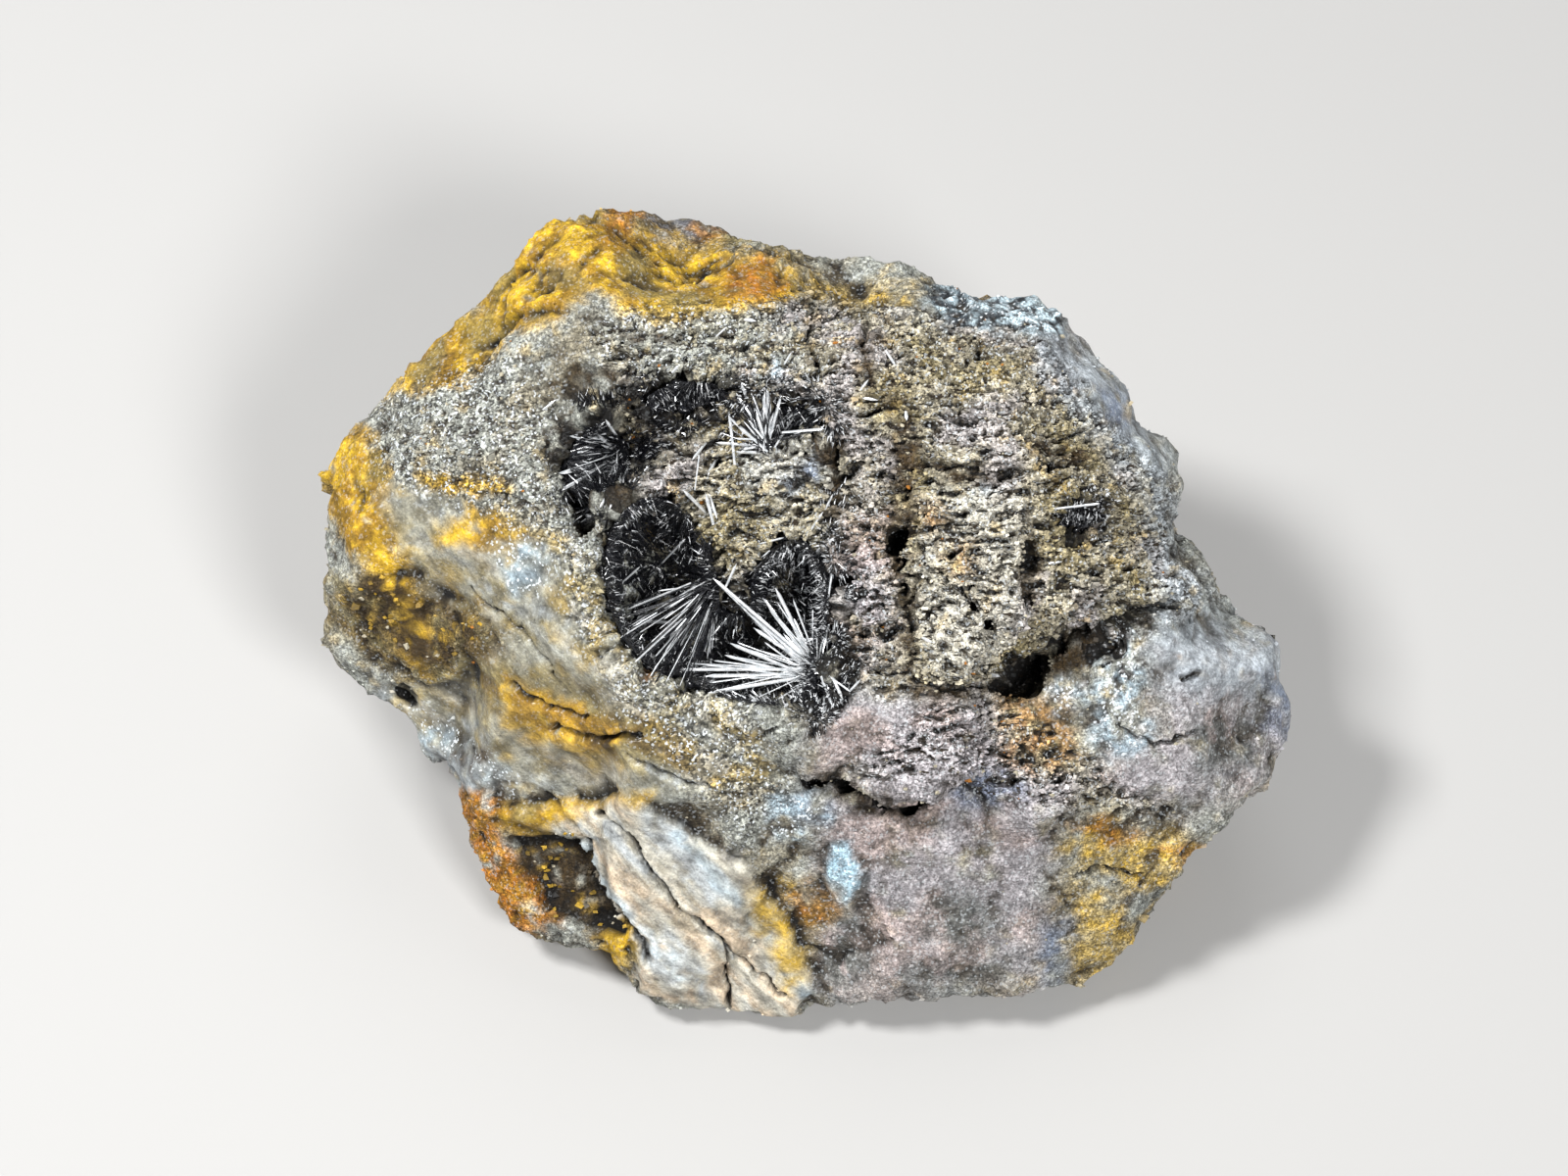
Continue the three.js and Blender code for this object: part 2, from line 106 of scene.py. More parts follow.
# The big spray: its root and the tips of its main needles in the face frame, clockwise from the lower left
SPRAY_ROOT = (1.2, -5.4, 9.2)
SPRAY_TIPS = [
    (-2.9, -10.4, 11.6), (-8.9, -7.1, 11.7), (-9.2, -5.6, 10.6), (-11.9, -5, 11.4), (-7.4, -3.7, 10.8),
    (-6.9, -2.6, 11.7), (-4.8, -1.2, 10.4), (-5.8, 0.6, 10.4), (-8.3, 3.2, 13.7), (-3.5, 0.8, 10.2),
    (-2.8, 2.4, 10.2), (-1.1, -0.4, 10.8), (1.7, 0.4, 10.8), (2.3, 3.6, 11.4),
]

# Smaller fans of needles as pixels of the photograph: root, tips in order round it, and how many more between
LEFT_FAN = (
    (640, 462),
    [(622, 520), (612, 519), (600, 514), (576, 498), (572, 484), (584, 466), (588, 448), (602, 436),
     (618, 428)],
    24,
)
SHELF_FAN = (
    (782, 456),
    [(738, 468), (730, 452), (744, 426), (756, 390), (768, 404), (784, 398), (797, 404), (812, 422),
     (842, 438)],
    26,
)
SEPTUM_FAN = (
    (736, 590),
    [(640, 622), (634, 650), (648, 676), (664, 690), (680, 696), (694, 700), (708, 688), (722, 672),
     (742, 650)],
    44,
)
FAN_SCATTER = 0.5  # how far the tips between the main ones stray
ROOT_SCATTER = 0.35

# How the spray and the fans grow. The spray: how many needles between the main ones, their width and sides.
# A fan: how far its bright and its black tips stand off the surface, how many black needles there are to a
# bright one, how far from the root the bright ones start, and their width and sides.
SPRAY_MAIN = (0, (0.18, 0.4), 6)
SPRAY_FINE = (34, (0.08, 0.2), 5)
VUG_FAN_GROWTH = ((1.8, 1.5), 2, 0.8, (0.07, 0.2), 4)
POCKET_FAN_GROWTH = ((0.8, 0.6), 3, 0.3, (0.14, 0.34), 5)

# The vug's mats of fine needles: how many are tried on its crust, their length and width, and the tufts
VUG_SEED = 7
VUG_MATS = [
    (26000, (0.5, 1.5), (0.07, 0.12), 120),
    (7000, (1.2, 2.6), (0.08, 0.14), 50),
]

# The pockets: how many needles are tried on the crust, their length, the number of tufts, a seed, and the fan
POCKETS = [
    ("left_pocket_crystals", 2500, (1, 3), 5, 8, LEFT_FAN),
    ("upper_pocket_crystals", 2500, (0.5, 1.7), 10, 9, None),
    ("shelf_pocket_crystals", 2000, (0.8, 2.6), 5, 10, SHELF_FAN),
    ("right_pocket_crystals", 1500, (0.4, 1.4), 8, 11, None),
]
POCKET_WIDTH = (0.07, 0.15)
BLACK_FAN_WIDTH = (0.08, 0.16)
LOOSE_SEED = 12
LOOSE_WIDTH = (0.16, 0.38)
LOOSE_SIDES = 6
CRUMB_SEED = 15

# Where needles creep over the brink of a hollow
NEEDLE_GROUND = [
    [(560, 424), (640, 384), (850, 380), (862, 444), (720, 450), (650, 480), (620, 530), (566, 500)],
    [(840, 500), (868, 500), (872, 690), (840, 744), (764, 724), (770, 700), (838, 690)],
    [(1076, 500), (1134, 500), (1134, 552), (1076, 552)],
    [(722, 596), (764, 592), (776, 670), (740, 676)],
]

# Loose bright needles as pixels of the photograph: root, tip, and how far the tip stands off the surface
LOOSE_NEEDLES = [
    (856, 717, 878, 693, 1.2), (706, 637, 650, 633, 2), (672, 578, 700, 550, 2.2),
    (630, 599, 655, 578, 1.6), (700, 610, 715, 590, 2), (702, 635, 720, 597, 2), (680, 660, 690, 640, 1.6),
    (775, 555, 800, 549, 1.6), (722, 525, 697, 500, 1.2), (728, 535, 720, 503, 1.2),
    (709, 500, 714, 464, 1), (754, 512, 744, 420, 1.2), (730, 344, 742, 334, 0.6),
    (554, 418, 568, 408, 0.6), (878, 398, 886, 388, 0.5), (880, 406, 896, 409, 0.4),
    (904, 358, 914, 374, 0.5), (924, 420, 925, 430, 0.5), (1078, 519, 1118, 515, 0.7),
    (800, 372, 808, 360, 0.5), (686, 380, 694, 372, 0.5), (838, 650, 840, 600, 1.5),
    (844, 640, 850, 596, 1), (760, 326, 772, 328, 0.4), (1070, 575, 1084, 573, 0.4),
    (1012, 688, 1020, 690, 0.5), (940, 650, 952, 656, 0.4), (775, 706, 790, 742, 0.8),
    (740, 600, 752, 575, 1), (660, 640, 640, 655, 1), (690, 610, 670, 606, 1.2), (705, 650, 735, 652, 1.2),
    (834, 702, 826, 728, 0.8), (842, 698, 840, 728, 0.8), (828, 692, 810, 716, 1),
    (850, 692, 860, 714, 0.6), (760, 702, 776, 730, 0.8), (820, 700, 800, 722, 0.8),
    (846, 690, 868, 706, 0.6), (838, 690, 850, 722, 0.6), (836, 560, 852, 548, 0.6),
    (828, 540, 840, 522, 0.6), (842, 520, 850, 504, 0.5), (826, 580, 836, 560, 0.8),
    (812, 600, 826, 584, 1), (648, 590, 632, 612, 0.8), (640, 560, 628, 574, 0.6),
    (662, 620, 648, 634, 0.8), (724, 505, 732, 530, 0.6), (720, 452, 706, 470, 0.6),
    (730, 470, 722, 486, 0.5),
]

# Minerals of the display face, as outlines in the photograph
YELLOW = [
    [(548, 232), (598, 214), (650, 236), (722, 258), (800, 268), (826, 286), (800, 306), (736, 312),
     (690, 326), (640, 320), (604, 300), (566, 318), (524, 346), (492, 376), (440, 398), (404, 404),
     (416, 362), (440, 338), (486, 312), (494, 286)],
    [(372, 436), (396, 474), (390, 520), (402, 562), (430, 600), (446, 644), (438, 678), (420, 660),
     (414, 616), (386, 588), (358, 556), (344, 522), (336, 488), (352, 466)],
    [(508, 694), (560, 706), (604, 728), (646, 752), (604, 770), (560, 758), (518, 740)],
    [(498, 818), (600, 816), (660, 806), (560, 842), (566, 868), (536, 862), (504, 846)],
    [(604, 930), (650, 956), (642, 986), (610, 986), (598, 958)],
    [(430, 486), (520, 496), (524, 506), (440, 502)],
    [(480, 520), (520, 536), (546, 548), (500, 552), (440, 556)],
    [(400, 600), (416, 608), (438, 650), (438, 674), (424, 668), (410, 640)],
]
PALE_YELLOW = [
    [(764, 898), (812, 904), (838, 940), (832, 980), (810, 1008), (786, 976), (768, 936)],
    [(1080, 862), (1130, 838), (1192, 850), (1220, 872), (1176, 910), (1110, 894)],
    [(1094, 892), (1140, 930), (1150, 962), (1124, 996), (1090, 994), (1098, 936)],
    [(820, 284), (880, 284), (940, 300), (900, 312), (830, 300)],
]
ORANGE = [
    [(740, 276), (776, 264), (806, 284), (780, 304), (744, 298)],
    [(466, 798), (500, 812), (516, 866), (552, 900), (572, 936), (530, 956), (496, 914), (474, 866)],
    [(800, 912), (850, 922), (842, 948), (812, 944)],
    [(1100, 848), (1150, 842), (1172, 850), (1140, 858)],
    [(1190, 868), (1216, 862), (1208, 888)],
    [(626, 222), (652, 216), (646, 238), (622, 234)],
    [(716, 236), (738, 240), (732, 248), (716, 246)],
    [(660, 690), (676, 684), (680, 694), (664, 700)],
]
# Faint tints laid over the ochres
PALE_TINT = [
    [(932, 505), (1040, 503), (1044, 560), (1040, 616), (1006, 676), (950, 688), (934, 620)],
    [(766, 462), (800, 456), (822, 462), (810, 486), (770, 490)],
]
ORANGE_TINT = [
    [(938, 514), (960, 512), (964, 536), (942, 540)],
    [(960, 560), (990, 556), (990, 582), (966, 584)],
    [(1020, 710), (1090, 716), (1104, 770), (1066, 792), (1026, 776)],
    [(826, 900), (856, 906), (860, 930), (830, 944)],
]
# The slab's pale ribs, as lines
SLAB_RIBS = [
    [(598, 862), (616, 900), (656, 948), (700, 990)],
    [(690, 846), (736, 898), (790, 960), (824, 1010)],
]
# The part of the vein where the painted highlights on its lumps are strongest
BRIGHT_VEIN = [(1008, 314), (1040, 304), (1082, 324), (1084, 346), (1036, 342)]
VEIN = [(944, 296), (1000, 306), (1030, 304), (1082, 326), (1084, 344), (1030, 338), (972, 332)]
OVAL = [(852, 862), (866, 862), (878, 880), (878, 902), (866, 924), (852, 922), (844, 900), (845, 876)]
BLUE_WHITE = [
    VEIN,
    OVAL,
    [(1120, 640), (1160, 618), (1176, 660), (1162, 704), (1176, 756), (1140, 786), (1112, 750), (1120, 704)],
    [(786, 800), (840, 816), (844, 846), (808, 866), (780, 846)],
    [(500, 552), (556, 556), (556, 604), (520, 600)],
    [(960, 498), (1014, 500), (1010, 522), (964, 520)],
    [(760, 380), (790, 372), (796, 388), (766, 396)],
    [(484, 776), (520, 790), (546, 822), (510, 812)],
    [(1060, 696), (1110, 690), (1116, 730), (1076, 728)],
    [(420, 736), (470, 744), (486, 760), (440, 768), (420, 756)],
]
SLATE_BLUE = [
    [(980, 786), (1040, 782), (1046, 816), (1000, 828), (974, 812)],
    [(1064, 940), (1096, 940), (1096, 990), (1060, 996)],
    [(1120, 390), (1156, 406), (1150, 446), (1126, 430)],
    [(790, 470), (840, 472), (842, 496), (800, 496)],
    [(816, 806), (850, 822), (840, 850), (812, 836)],
    [(1288, 690), (1316, 706), (1304, 760), (1284, 740)],
    [(660, 222), (724, 234), (716, 246), (672, 238)],
]
GOLD_GROUND = [
    [(350, 596), (380, 586), (420, 590), (446, 616), (496, 640), (480, 668), (440, 676), (404, 660),
     (366, 640)],
    [(518, 858), (590, 856), (612, 906), (642, 952), (600, 952), (560, 936), (538, 900)],
]
# Black marks: the gold ground's stains and other real stains, and painted shadow in the grooves, clefts and
# holes and under the ledges
BLACK_STAIN_AND_SHADE = GOLD_GROUND + [
    [(818, 786), (850, 784), (880, 800), (930, 812), (975, 794), (970, 812), (930, 836), (880, 832),
     (840, 808)],
    [(900, 536), (918, 540), (930, 580), (934, 650), (930, 700), (914, 690), (918, 620)],
    [(930, 690), (960, 700), (1012, 694), (1016, 706), (960, 716), (930, 708)],
    [(732, 600), (756, 596), (762, 640), (750, 664), (734, 640)],
    [(826, 296), (838, 296), (836, 380), (824, 380)],
    [(906, 404), (930, 398), (938, 470), (932, 540), (906, 540)],
    [(874, 334), (896, 334), (900, 408), (878, 410)],
    [(1050, 448), (1100, 446), (1134, 462), (1120, 478), (1060, 470)],
    [(930, 470), (1010, 474), (1040, 486), (1000, 496), (930, 488)],
    [(576, 500), (606, 500), (606, 546), (584, 548)],
    [(580, 378), (640, 372), (648, 398), (592, 400)],
    [(548, 432), (640, 432), (650, 470), (640, 520), (600, 530), (568, 486)],
    [(640, 400), (668, 392), (680, 440), (652, 448)],
    [(650, 392), (768, 388), (780, 432), (700, 430)],
    [(830, 426), (862, 436), (866, 520), (842, 530), (836, 470)],
    [(1082, 502), (1130, 510), (1128, 548), (1088, 544)],
    [(640, 336), (690, 340), (690, 352), (640, 352)],
    [(598, 744), (650, 748), (650, 760), (600, 764)],
    [(1010, 690), (1070, 660), (1140, 634), (1196, 606), (1200, 622), (1146, 654), (1074, 700), (1016, 716)],
    [(1044, 552), (1060, 552), (1062, 620), (1046, 620)],
    [(468, 756), (520, 766), (486, 782), (470, 776)],
    [(560, 960), (610, 952), (600, 962)],
]
DEEP_SHADE = [
    [(1010, 686), (1038, 666), (1064, 662), (1066, 690), (1038, 714), (1012, 708)],
    [(1096, 648), (1140, 634), (1196, 608), (1198, 620), (1142, 652), (1104, 662)],
    [(722, 596), (764, 592), (778, 670), (738, 680)],
    [(838, 636), (866, 636), (880, 690), (858, 726), (826, 716)],
    [(820, 786), (852, 788), (874, 802), (930, 820), (972, 798), (966, 812), (930, 832), (870, 818),
     (836, 802)],
]
PALE_SLAB = [
    [(500, 832), (640, 812), (694, 840), (764, 884), (800, 940), (834, 1004), (804, 1036), (742, 1024),
     (700, 1024), (656, 1008), (650, 972), (612, 908), (592, 860)],
]
SMOOTH_RIM = [
    [(396, 486), (470, 516), (560, 540), (612, 590), (640, 660), (700, 700), (770, 742), (800, 790),
     (720, 812), (620, 806), (500, 800), (476, 760), (420, 764), (404, 712), (470, 690), (520, 650),
     (450, 600), (392, 540)],
]
SALT_AND_PEPPER = [
    [(396, 424), (470, 378), (530, 366), (556, 420), (572, 470), (612, 560), (640, 650),
     (600, 660), (560, 560), (480, 520), (396, 486)],
    [(620, 330), (820, 318), (830, 380), (760, 390), (640, 392)],
    [(620, 660), (760, 716), (800, 800), (760, 850), (680, 780), (620, 720)],
]
MAUVE = [
    [(850, 700), (1000, 716), (1040, 780), (1090, 820), (1060, 900), (1060, 1000), (900, 1020),
     (826, 1004), (840, 880), (850, 800), (880, 780), (820, 780)],
    [(1100, 336), (1110, 380), (1080, 400), (1060, 350)],
    [(860, 520), (910, 530), (910, 640), (880, 690), (856, 620)],
    [(1180, 660), (1300, 656), (1310, 760), (1296, 800), (1200, 830), (1110, 800), (1180, 740)],
]
OLIVE_GREY = [
    [(940, 914), (990, 904), (1024, 924), (1018, 962), (970, 976), (938, 956)],
    [(826, 900), (880, 930), (900, 1004), (850, 1010), (820, 990)],
    [(1148, 876), (1214, 880), (1190, 930), (1150, 946)],
    [(1210, 730), (1280, 726), (1280, 780), (1230, 800)],
    [(905, 985), (1040, 975), (1020, 1010), (920, 1020)],
]
BROWN_BAND = [
    [(610, 200), (700, 206), (800, 250), (830, 270), (760, 262), (690, 250), (640, 244)],
    [(336, 590), (420, 584), (480, 612), (512, 650), (470, 692), (420, 690), (380, 670), (340, 640)],
    [(440, 636), (478, 640), (520, 676), (580, 700), (640, 724), (700, 760), (730, 790), (660, 780),
     (590, 766), (530, 752), (496, 716), (460, 690)],
    [(400, 600), (440, 596), (500, 640), (480, 680), (430, 650)],
]
GREY_SMOOTH = [
    [(1096, 340), (1150, 400), (1196, 460), (1200, 560), (1240, 620), (1300, 660), (1290, 690), (1180, 680),
     (1190, 640), (1170, 540), (1160, 480), (1110, 440), (1060, 380), (1060, 340)],
    [(760, 462), (846, 456), (850, 500), (800, 508), (762, 500)],
    [(380, 700), (420, 704), (520, 790), (560, 800), (480, 800), (410, 762)],
    [(1180, 640), (1316, 650), (1320, 720), (1250, 716), (1180, 700)],
]
POROUS = [
    [(600, 336), (720, 322), (830, 300), (960, 326), (1060, 346), (1100, 400), (1150, 460), (1190, 500),
     (1190, 570), (1226, 612), (1170, 640), (1060, 676), (1000, 712), (870, 694), (856, 560), (852, 470),
     (780, 500), (660, 486), (640, 410)],
    [(1020, 716), (1100, 770), (1180, 830), (1080, 830), (960, 790), (860, 790), (960, 720)],
    [(640, 480), (720, 440), (862, 470), (866, 540), (800, 562), (764, 598), (736, 616), (706, 580),
     (656, 520)],
]

# For each mineral its outlines, how rare it is on the hidden sides, and how soft its edge is in pixels
MINERALS = {
    "yellow": (YELLOW, 0.42, 9),
    "pale_yellow": (PALE_YELLOW, 0.7, 12),
    "orange": (ORANGE, 0.75, 9),
    "blue_white": (BLUE_WHITE, 1.1, 9),
    "slate": (SLATE_BLUE, 0.9, 12),
    "black": (BLACK_STAIN_AND_SHADE, 0.5, 9),
    "slab": (PALE_SLAB, 1.2, 4),
    "rim": (SMOOTH_RIM, 1.2, 14),
    "salt": (SALT_AND_PEPPER, 0.3, 26),
    "mauve": (MAUVE, 0.15, 26),
    "grey": (GREY_SMOOTH, 0.6, 16),
    "porous": (POROUS, 0.25, 22),
    "olive_grey": (OLIVE_GREY, 0.5, 18),
    "brown": (BROWN_BAND, 0.6, 16),
}
HIDDEN_PATCH = 15  # size of the patches of mineral on the hidden sides, in mm
FRAY = 9  # how far noise bends the edges of the outlines, in pixels

# Parts of the display face that stand out of it or lie below it, with their heights in mm
STEPS = [
    (PALE_SLAB[0], 0.8),
    (GOLD_GROUND[1], -1.4),
    (OVAL, 0.6),
    (DEEP_SHADE[2], -1.8),
    (DEEP_SHADE[3], -0.9),
    ([(752, 452), (846, 446), (862, 470), (856, 508), (820, 520), (760, 512)], 0.7),
    ([(930, 500), (1040, 500), (1046, 620), (1010, 690), (940, 700), (926, 600)], 0.8),
    ([(1010, 700), (1060, 676), (1184, 618), (1190, 640), (1120, 690), (1070, 720), (1020, 722)], -0.4),
    ([(850, 700), (1000, 716), (1010, 790), (960, 805), (905, 815), (860, 800), (820, 780)], 0.6),
    (YELLOW[4], -0.5),
    ([(350, 590), (420, 590), (470, 615), (500, 645), (470, 690), (430, 690), (400, 665)], 0.7),
]

# Holes and cracks in the display face, as lines in the photograph, each with its half width and depth in mm
CRACKS = [
    ([(616, 826), (642, 850), (666, 890), (702, 926), (740, 960), (802, 1012)], 0.34, 1.5),
    ([(738, 958), (745, 1016)], 0.3, 1.2),
    ([(906, 546), (922, 575), (926, 602), (932, 642)], 0.45, 1.5),
    ([(1050, 556), (1054, 590), (1052, 618)], 0.6, 2),
    ([(948, 578), (972, 596), (998, 624), (1006, 640)], 0.3, 1.6),
    ([(1018, 700), (1044, 680), (1074, 662), (1141, 638), (1170, 621), (1198, 614)], 0.75, 2.2),
    ([(1026, 706), (1036, 694), (1050, 690), (1062, 680)], 0.7, 2),
    ([(588, 512), (596, 536)], 1.3, 3),
    ([(998, 622), (1010, 632)], 0.9, 2.2),
    ([(912, 540), (916, 560)], 0.7, 1.6),
    ([(866, 590), (874, 612)], 0.6, 2),
    ([(822, 796), (852, 794), (872, 808)], 0.9, 2.4),
    ([(868, 806), (905, 820), (930, 824), (970, 802)], 0.7, 2),
    ([(934, 694), (960, 706), (1010, 698)], 0.4, 1.4),
    ([(956, 742), (984, 742)], 0.45, 1.4),
    ([(1012, 768), (1026, 770)], 0.5, 1.4),
    ([(1208, 690), (1222, 686)], 0.5, 1.4),
    ([(1096, 894), (1130, 886), (1164, 894)], 0.25, 1),
    ([(560, 742), (610, 756), (652, 748)], 0.35, 1.4),
    ([(520, 700), (560, 722), (600, 732)], 0.25, 0.9),
    ([(640, 770), (700, 800), (760, 812)], 0.25, 0.9),
    ([(846, 438), (852, 470), (862, 500)], 0.4, 1.6),
    ([(480, 604), (530, 640), (566, 690)], 0.2, 0.7),
    ([(830, 310), (826, 345), (836, 372)], 0.35, 1.5),
    ([(885, 320), (882, 352)], 0.3, 1.3),
    ([(1056, 440), (1080, 444), (1120, 440)], 0.25, 1.1),
    ([(960, 474), (1000, 482), (1060, 478), (1110, 470)], 0.25, 1.1),
    ([(1140, 740), (1180, 760), (1220, 746)], 0.25, 1),
    ([(726, 738), (770, 752), (796, 740)], 0.2, 0.8),
    ([(598, 856), (612, 900), (640, 944), (662, 972)], 0.45, 1.3),
]

# Broken planes of the stone: cell size in mm, how far they step and lean, and a seed
FRACTURES = [(13, 0.8, 17), (7, 0.5, 14), (3.4, 0.24, 15), (1.7, 0.12, 16)]
FINE_FRACTURE = 5  # cells smaller than this are as low on the hidden sides as on the display face

# Pits of the porous face: the size of their cells in the face frame and their depth in mm, and a seed
PITS = [((3, 0.9, 1.8), 1.2, 35), ((1.7, 0.6, 1), 0.8, 36), ((1.1, 0.5, 0.8), 0.5, 37)]

# Beds: where they are, how far they slant in degrees, how much they are drawn out, and their thickness and
# height in mm
BEDS = [("porous", 0, 0.2, 0.75, 0.35), ("rim", 30, 0.1, 1.2, 0.14), ("slab", 46, 0.08, 1, 0.14)]

VEIN_LUMP = 1.2  # size of the round lumps of the shiny vein
VEIN_SEED = 71
SUNK_ROUNDS = 16  # what lies below the surface after this many rounds of evening counts as sunk
SMOOTH_SLANT = 40  # how far the marbling of the smooth rim and the slab slants, in degrees

# Colours of the minerals, and of painted shade, painted highlights and painted glints
NEAR_BLACK = (0.008, 0.007, 0.006)
DARK_BROWN = (0.055, 0.035, 0.014)
TAN_STONE = (0.31, 0.28, 0.205)
BUFF_STONE = (0.5, 0.45, 0.33)
GREY_STONE = (0.35, 0.36, 0.32)
WARM_GREY = (0.34, 0.33, 0.26)
OLIVE_STONE = (0.28, 0.22, 0.08)
BROWN_STONE = (0.15, 0.1, 0.035)
PALE_SLAB_STONE = (0.58, 0.55, 0.46)
WARM_SLAB = (0.62, 0.44, 0.27)
MAUVE_STONE = (0.45, 0.42, 0.44)
PINK_STONE = (0.5, 0.38, 0.34)
OLIVE_GREY_STONE = (0.155, 0.165, 0.155)
GREY_BLUE = (0.44, 0.49, 0.53)
SLATE_SHEEN = (0.15, 0.19, 0.28)
# The blue-white and oval sheens are the glossy minerals' blue-grey and partly painted reflection; the
# brightest sheen is painted highlight on the vein's round lumps
BLUE_WHITE_SHEEN = (0.42, 0.55, 0.64)
LUMP_HIGHLIGHT = (0.74, 0.92, 1)
OVAL_SHEEN = (0.48, 0.7, 0.83)
DARK_SLATE = (0.03, 0.04, 0.05)
YELLOW_OCHRE = (0.76, 0.47, 0.03)
PALE_OCHRE = (0.48, 0.36, 0.14)
BROWN_OCHRE = (0.33, 0.18, 0.02)
ORANGE_OCHRE = (0.5, 0.19, 0.02)
GOLD_GRAIN = (0.5, 0.31, 0.03)
PORE_SHADE = (0.03, 0.021, 0.012)
PAINTED_GLINT = (0.8, 0.85, 0.88)
FLOOR_GREY = (0.4, 0.395, 0.385)
SKY = {"Color": (0.9, 0.93, 1), "Strength": 0.2}

# Crystals: their darker and lighter colour, how metallic and how rough they are
BLACK_CRYSTAL = ((0.002, 0.002, 0.003), (0.012, 0.013, 0.017), 0.0, 0.24)
# The silver crystal's near-white colour is partly painted highlight, so that the bright needles look light
# under any lamp
SILVER_CRYSTAL = ((0.62, 0.65, 0.67), (0.98, 0.99, 1), 0.3, 0.2)

# Soft lights: azimuth, 0 in front of the stone and 90 to its right, elevation, distance and size in metres,
# and power in watts. They aim at a point in metres.
LIGHTS = {
    "key": (-95, 58, 0.5, 0.1, 3.3),
    "front": (30, 46, 0.6, 0.16, 3.6),
    "back": (175, 50, 0.6, 0.3, 0.8),
}
LIGHTS_AIM = Vector((0, 0, 0.025))


def to_face(points):
    return (points - FACE_ORIGIN) @ FACE_AXES.T


def to_part(points):
    return np.asarray(points, float) @ FACE_AXES + FACE_ORIGIN


def to_pixels(points):
    """Where points of the part show in the photograph."""
    u, v, w = to_face(points).T
    zoom = PIXELS_PER_MM * CAMERA_DISTANCE / (CAMERA_DISTANCE - w)
    x = PHOTO_SIZE[0] / 2 + zoom * (u - CAMERA_AIM[0])
    y = PHOTO_SIZE[1] / 2 - zoom * (v - CAMERA_AIM[1])
    return np.stack([x, y], axis=1)


def seen_at(x, y):
    """The point of the stone that shows at a pixel of the photograph."""
    eye = to_part([(*CAMERA_AIM, CAMERA_DISTANCE)])[0]
    u = CAMERA_AIM[0] + (x - PHOTO_SIZE[0] / 2) / PIXELS_PER_MM
    v = CAMERA_AIM[1] - (y - PHOTO_SIZE[1] / 2) / PIXELS_PER_MM
    way = Vector(to_part([(u, v, 0)])[0] - eye).normalized()
    return np.array(stone_tree.ray_cast(Vector(eye * MM), way)[0]) / MM


def ramp(values, low, high):
    """0 below low, 1 above high, and a smooth rise between them."""
    t = np.clip((values - low) / (high - low), 0, 1)
    return t * t * (3 - 2 * t)


def unit(vectors):
    return vectors / np.maximum(np.linalg.norm(vectors, axis=1, keepdims=True), 1e-9)


def turned(vectors, degrees):
    """Vectors turned in the plane of the display face."""
    angle = math.radians(degrees)
    c, s = math.cos(angle), math.sin(angle)
    u, v, w = vectors.T
    return np.stack([c * u - s * v, s * u + c * v, w], axis=1)


def hashed(cells, order):
    wrapped = cells & 255
    return order[(order[(order[wrapped[:, 0]] + wrapped[:, 1]) & 255] + wrapped[:, 2]) & 255]


def noise(points, size, seed=0):
    """Smooth noise, about -1 to 1, with lumps of that size."""
    rng = np.random.default_rng(seed)
    order = rng.permutation(256)
    slopes = unit(rng.normal(size=(256, 3)))
    scaled = points / size + 100
    cells = np.floor(scaled).astype(int)
    inside = scaled - cells
    ease = inside ** 3 * (inside * (inside * 6 - 15) + 10)
    total = np.zeros(len(points))
    for corner in product((0, 1), repeat=3):
        slope = slopes[hashed(cells + corner, order)]
        weight = np.prod(np.where(corner, ease, 1 - ease), axis=1)
        total += weight * np.sum(slope * (inside - corner), axis=1)
    return 1.6 * total


def rough_noise(points, size, seed=0, octaves=4):
    return sum(noise(points, size / 2 ** i, seed + i) / 2 ** i for i in range(octaves))


def ridged_noise(points, size, seed=0, octaves=3):
    """Noise with sharp crests and round hollows, about -1 to 0.6."""
    return sum((0.35 - abs(noise(points, size / 2 ** i, seed + i))) / 2 ** i for i in range(octaves))


def noise_vectors(points, size, seed, axes=3):
    return np.stack([noise(points, size, seed + i) for i in range(axes)], axis=1)


def cell_noise(points, size, seed=0):
    """Distance to the nearest scattered seed in cell sizes, its number from 0 to 255, and the way from it."""
    rng = np.random.default_rng(seed)
    order = rng.permutation(256)
    jitter = rng.random((256, 3))
    scaled = points / size + 100
    home = np.floor(scaled).astype(int)
    nearest = np.full(len(points), 9.0)
    number = np.zeros(len(points), int)
    away = np.zeros((len(points), 3))
    for step in product((-1, 0, 1), repeat=3):
        key = hashed(home + step, order)
        offset = scaled - (home + step) - jitter[key]
        distance = np.linalg.norm(offset, axis=1)
        closer = distance < nearest
        nearest = np.where(closer, distance, nearest)
        number = np.where(closer, key, number)
        away[closer] = offset[closer]
    return nearest, number, away


def line_distance(pixels, line):
    """Distance in pixels to a line of points."""
    nearest = np.full(len(pixels), 1e9)
    for a, b in zip(np.array(line[:-1], float), np.array(line[1:], float)):
        run = b - a
        t = np.clip((pixels - a) @ run / (run @ run), 0, 1)
        nearest = np.minimum(nearest, np.linalg.norm(pixels - a - t[:, None] * run, axis=1))
    return nearest


def inside_outline(pixels, outline):
    """Whether pixels lie in an outline, by counting its sides to their right."""
    x, y = pixels.T
    crossed = np.zeros(len(pixels), bool)
    for (ax, ay), (bx, by) in zip(outline, outline[1:] + outline[:1]):
        level = (ay > y) != (by > y)
        crossed ^= level & (x < ax + (y - ay) * (bx - ax) / (by - ay + 1e-9))
    return crossed


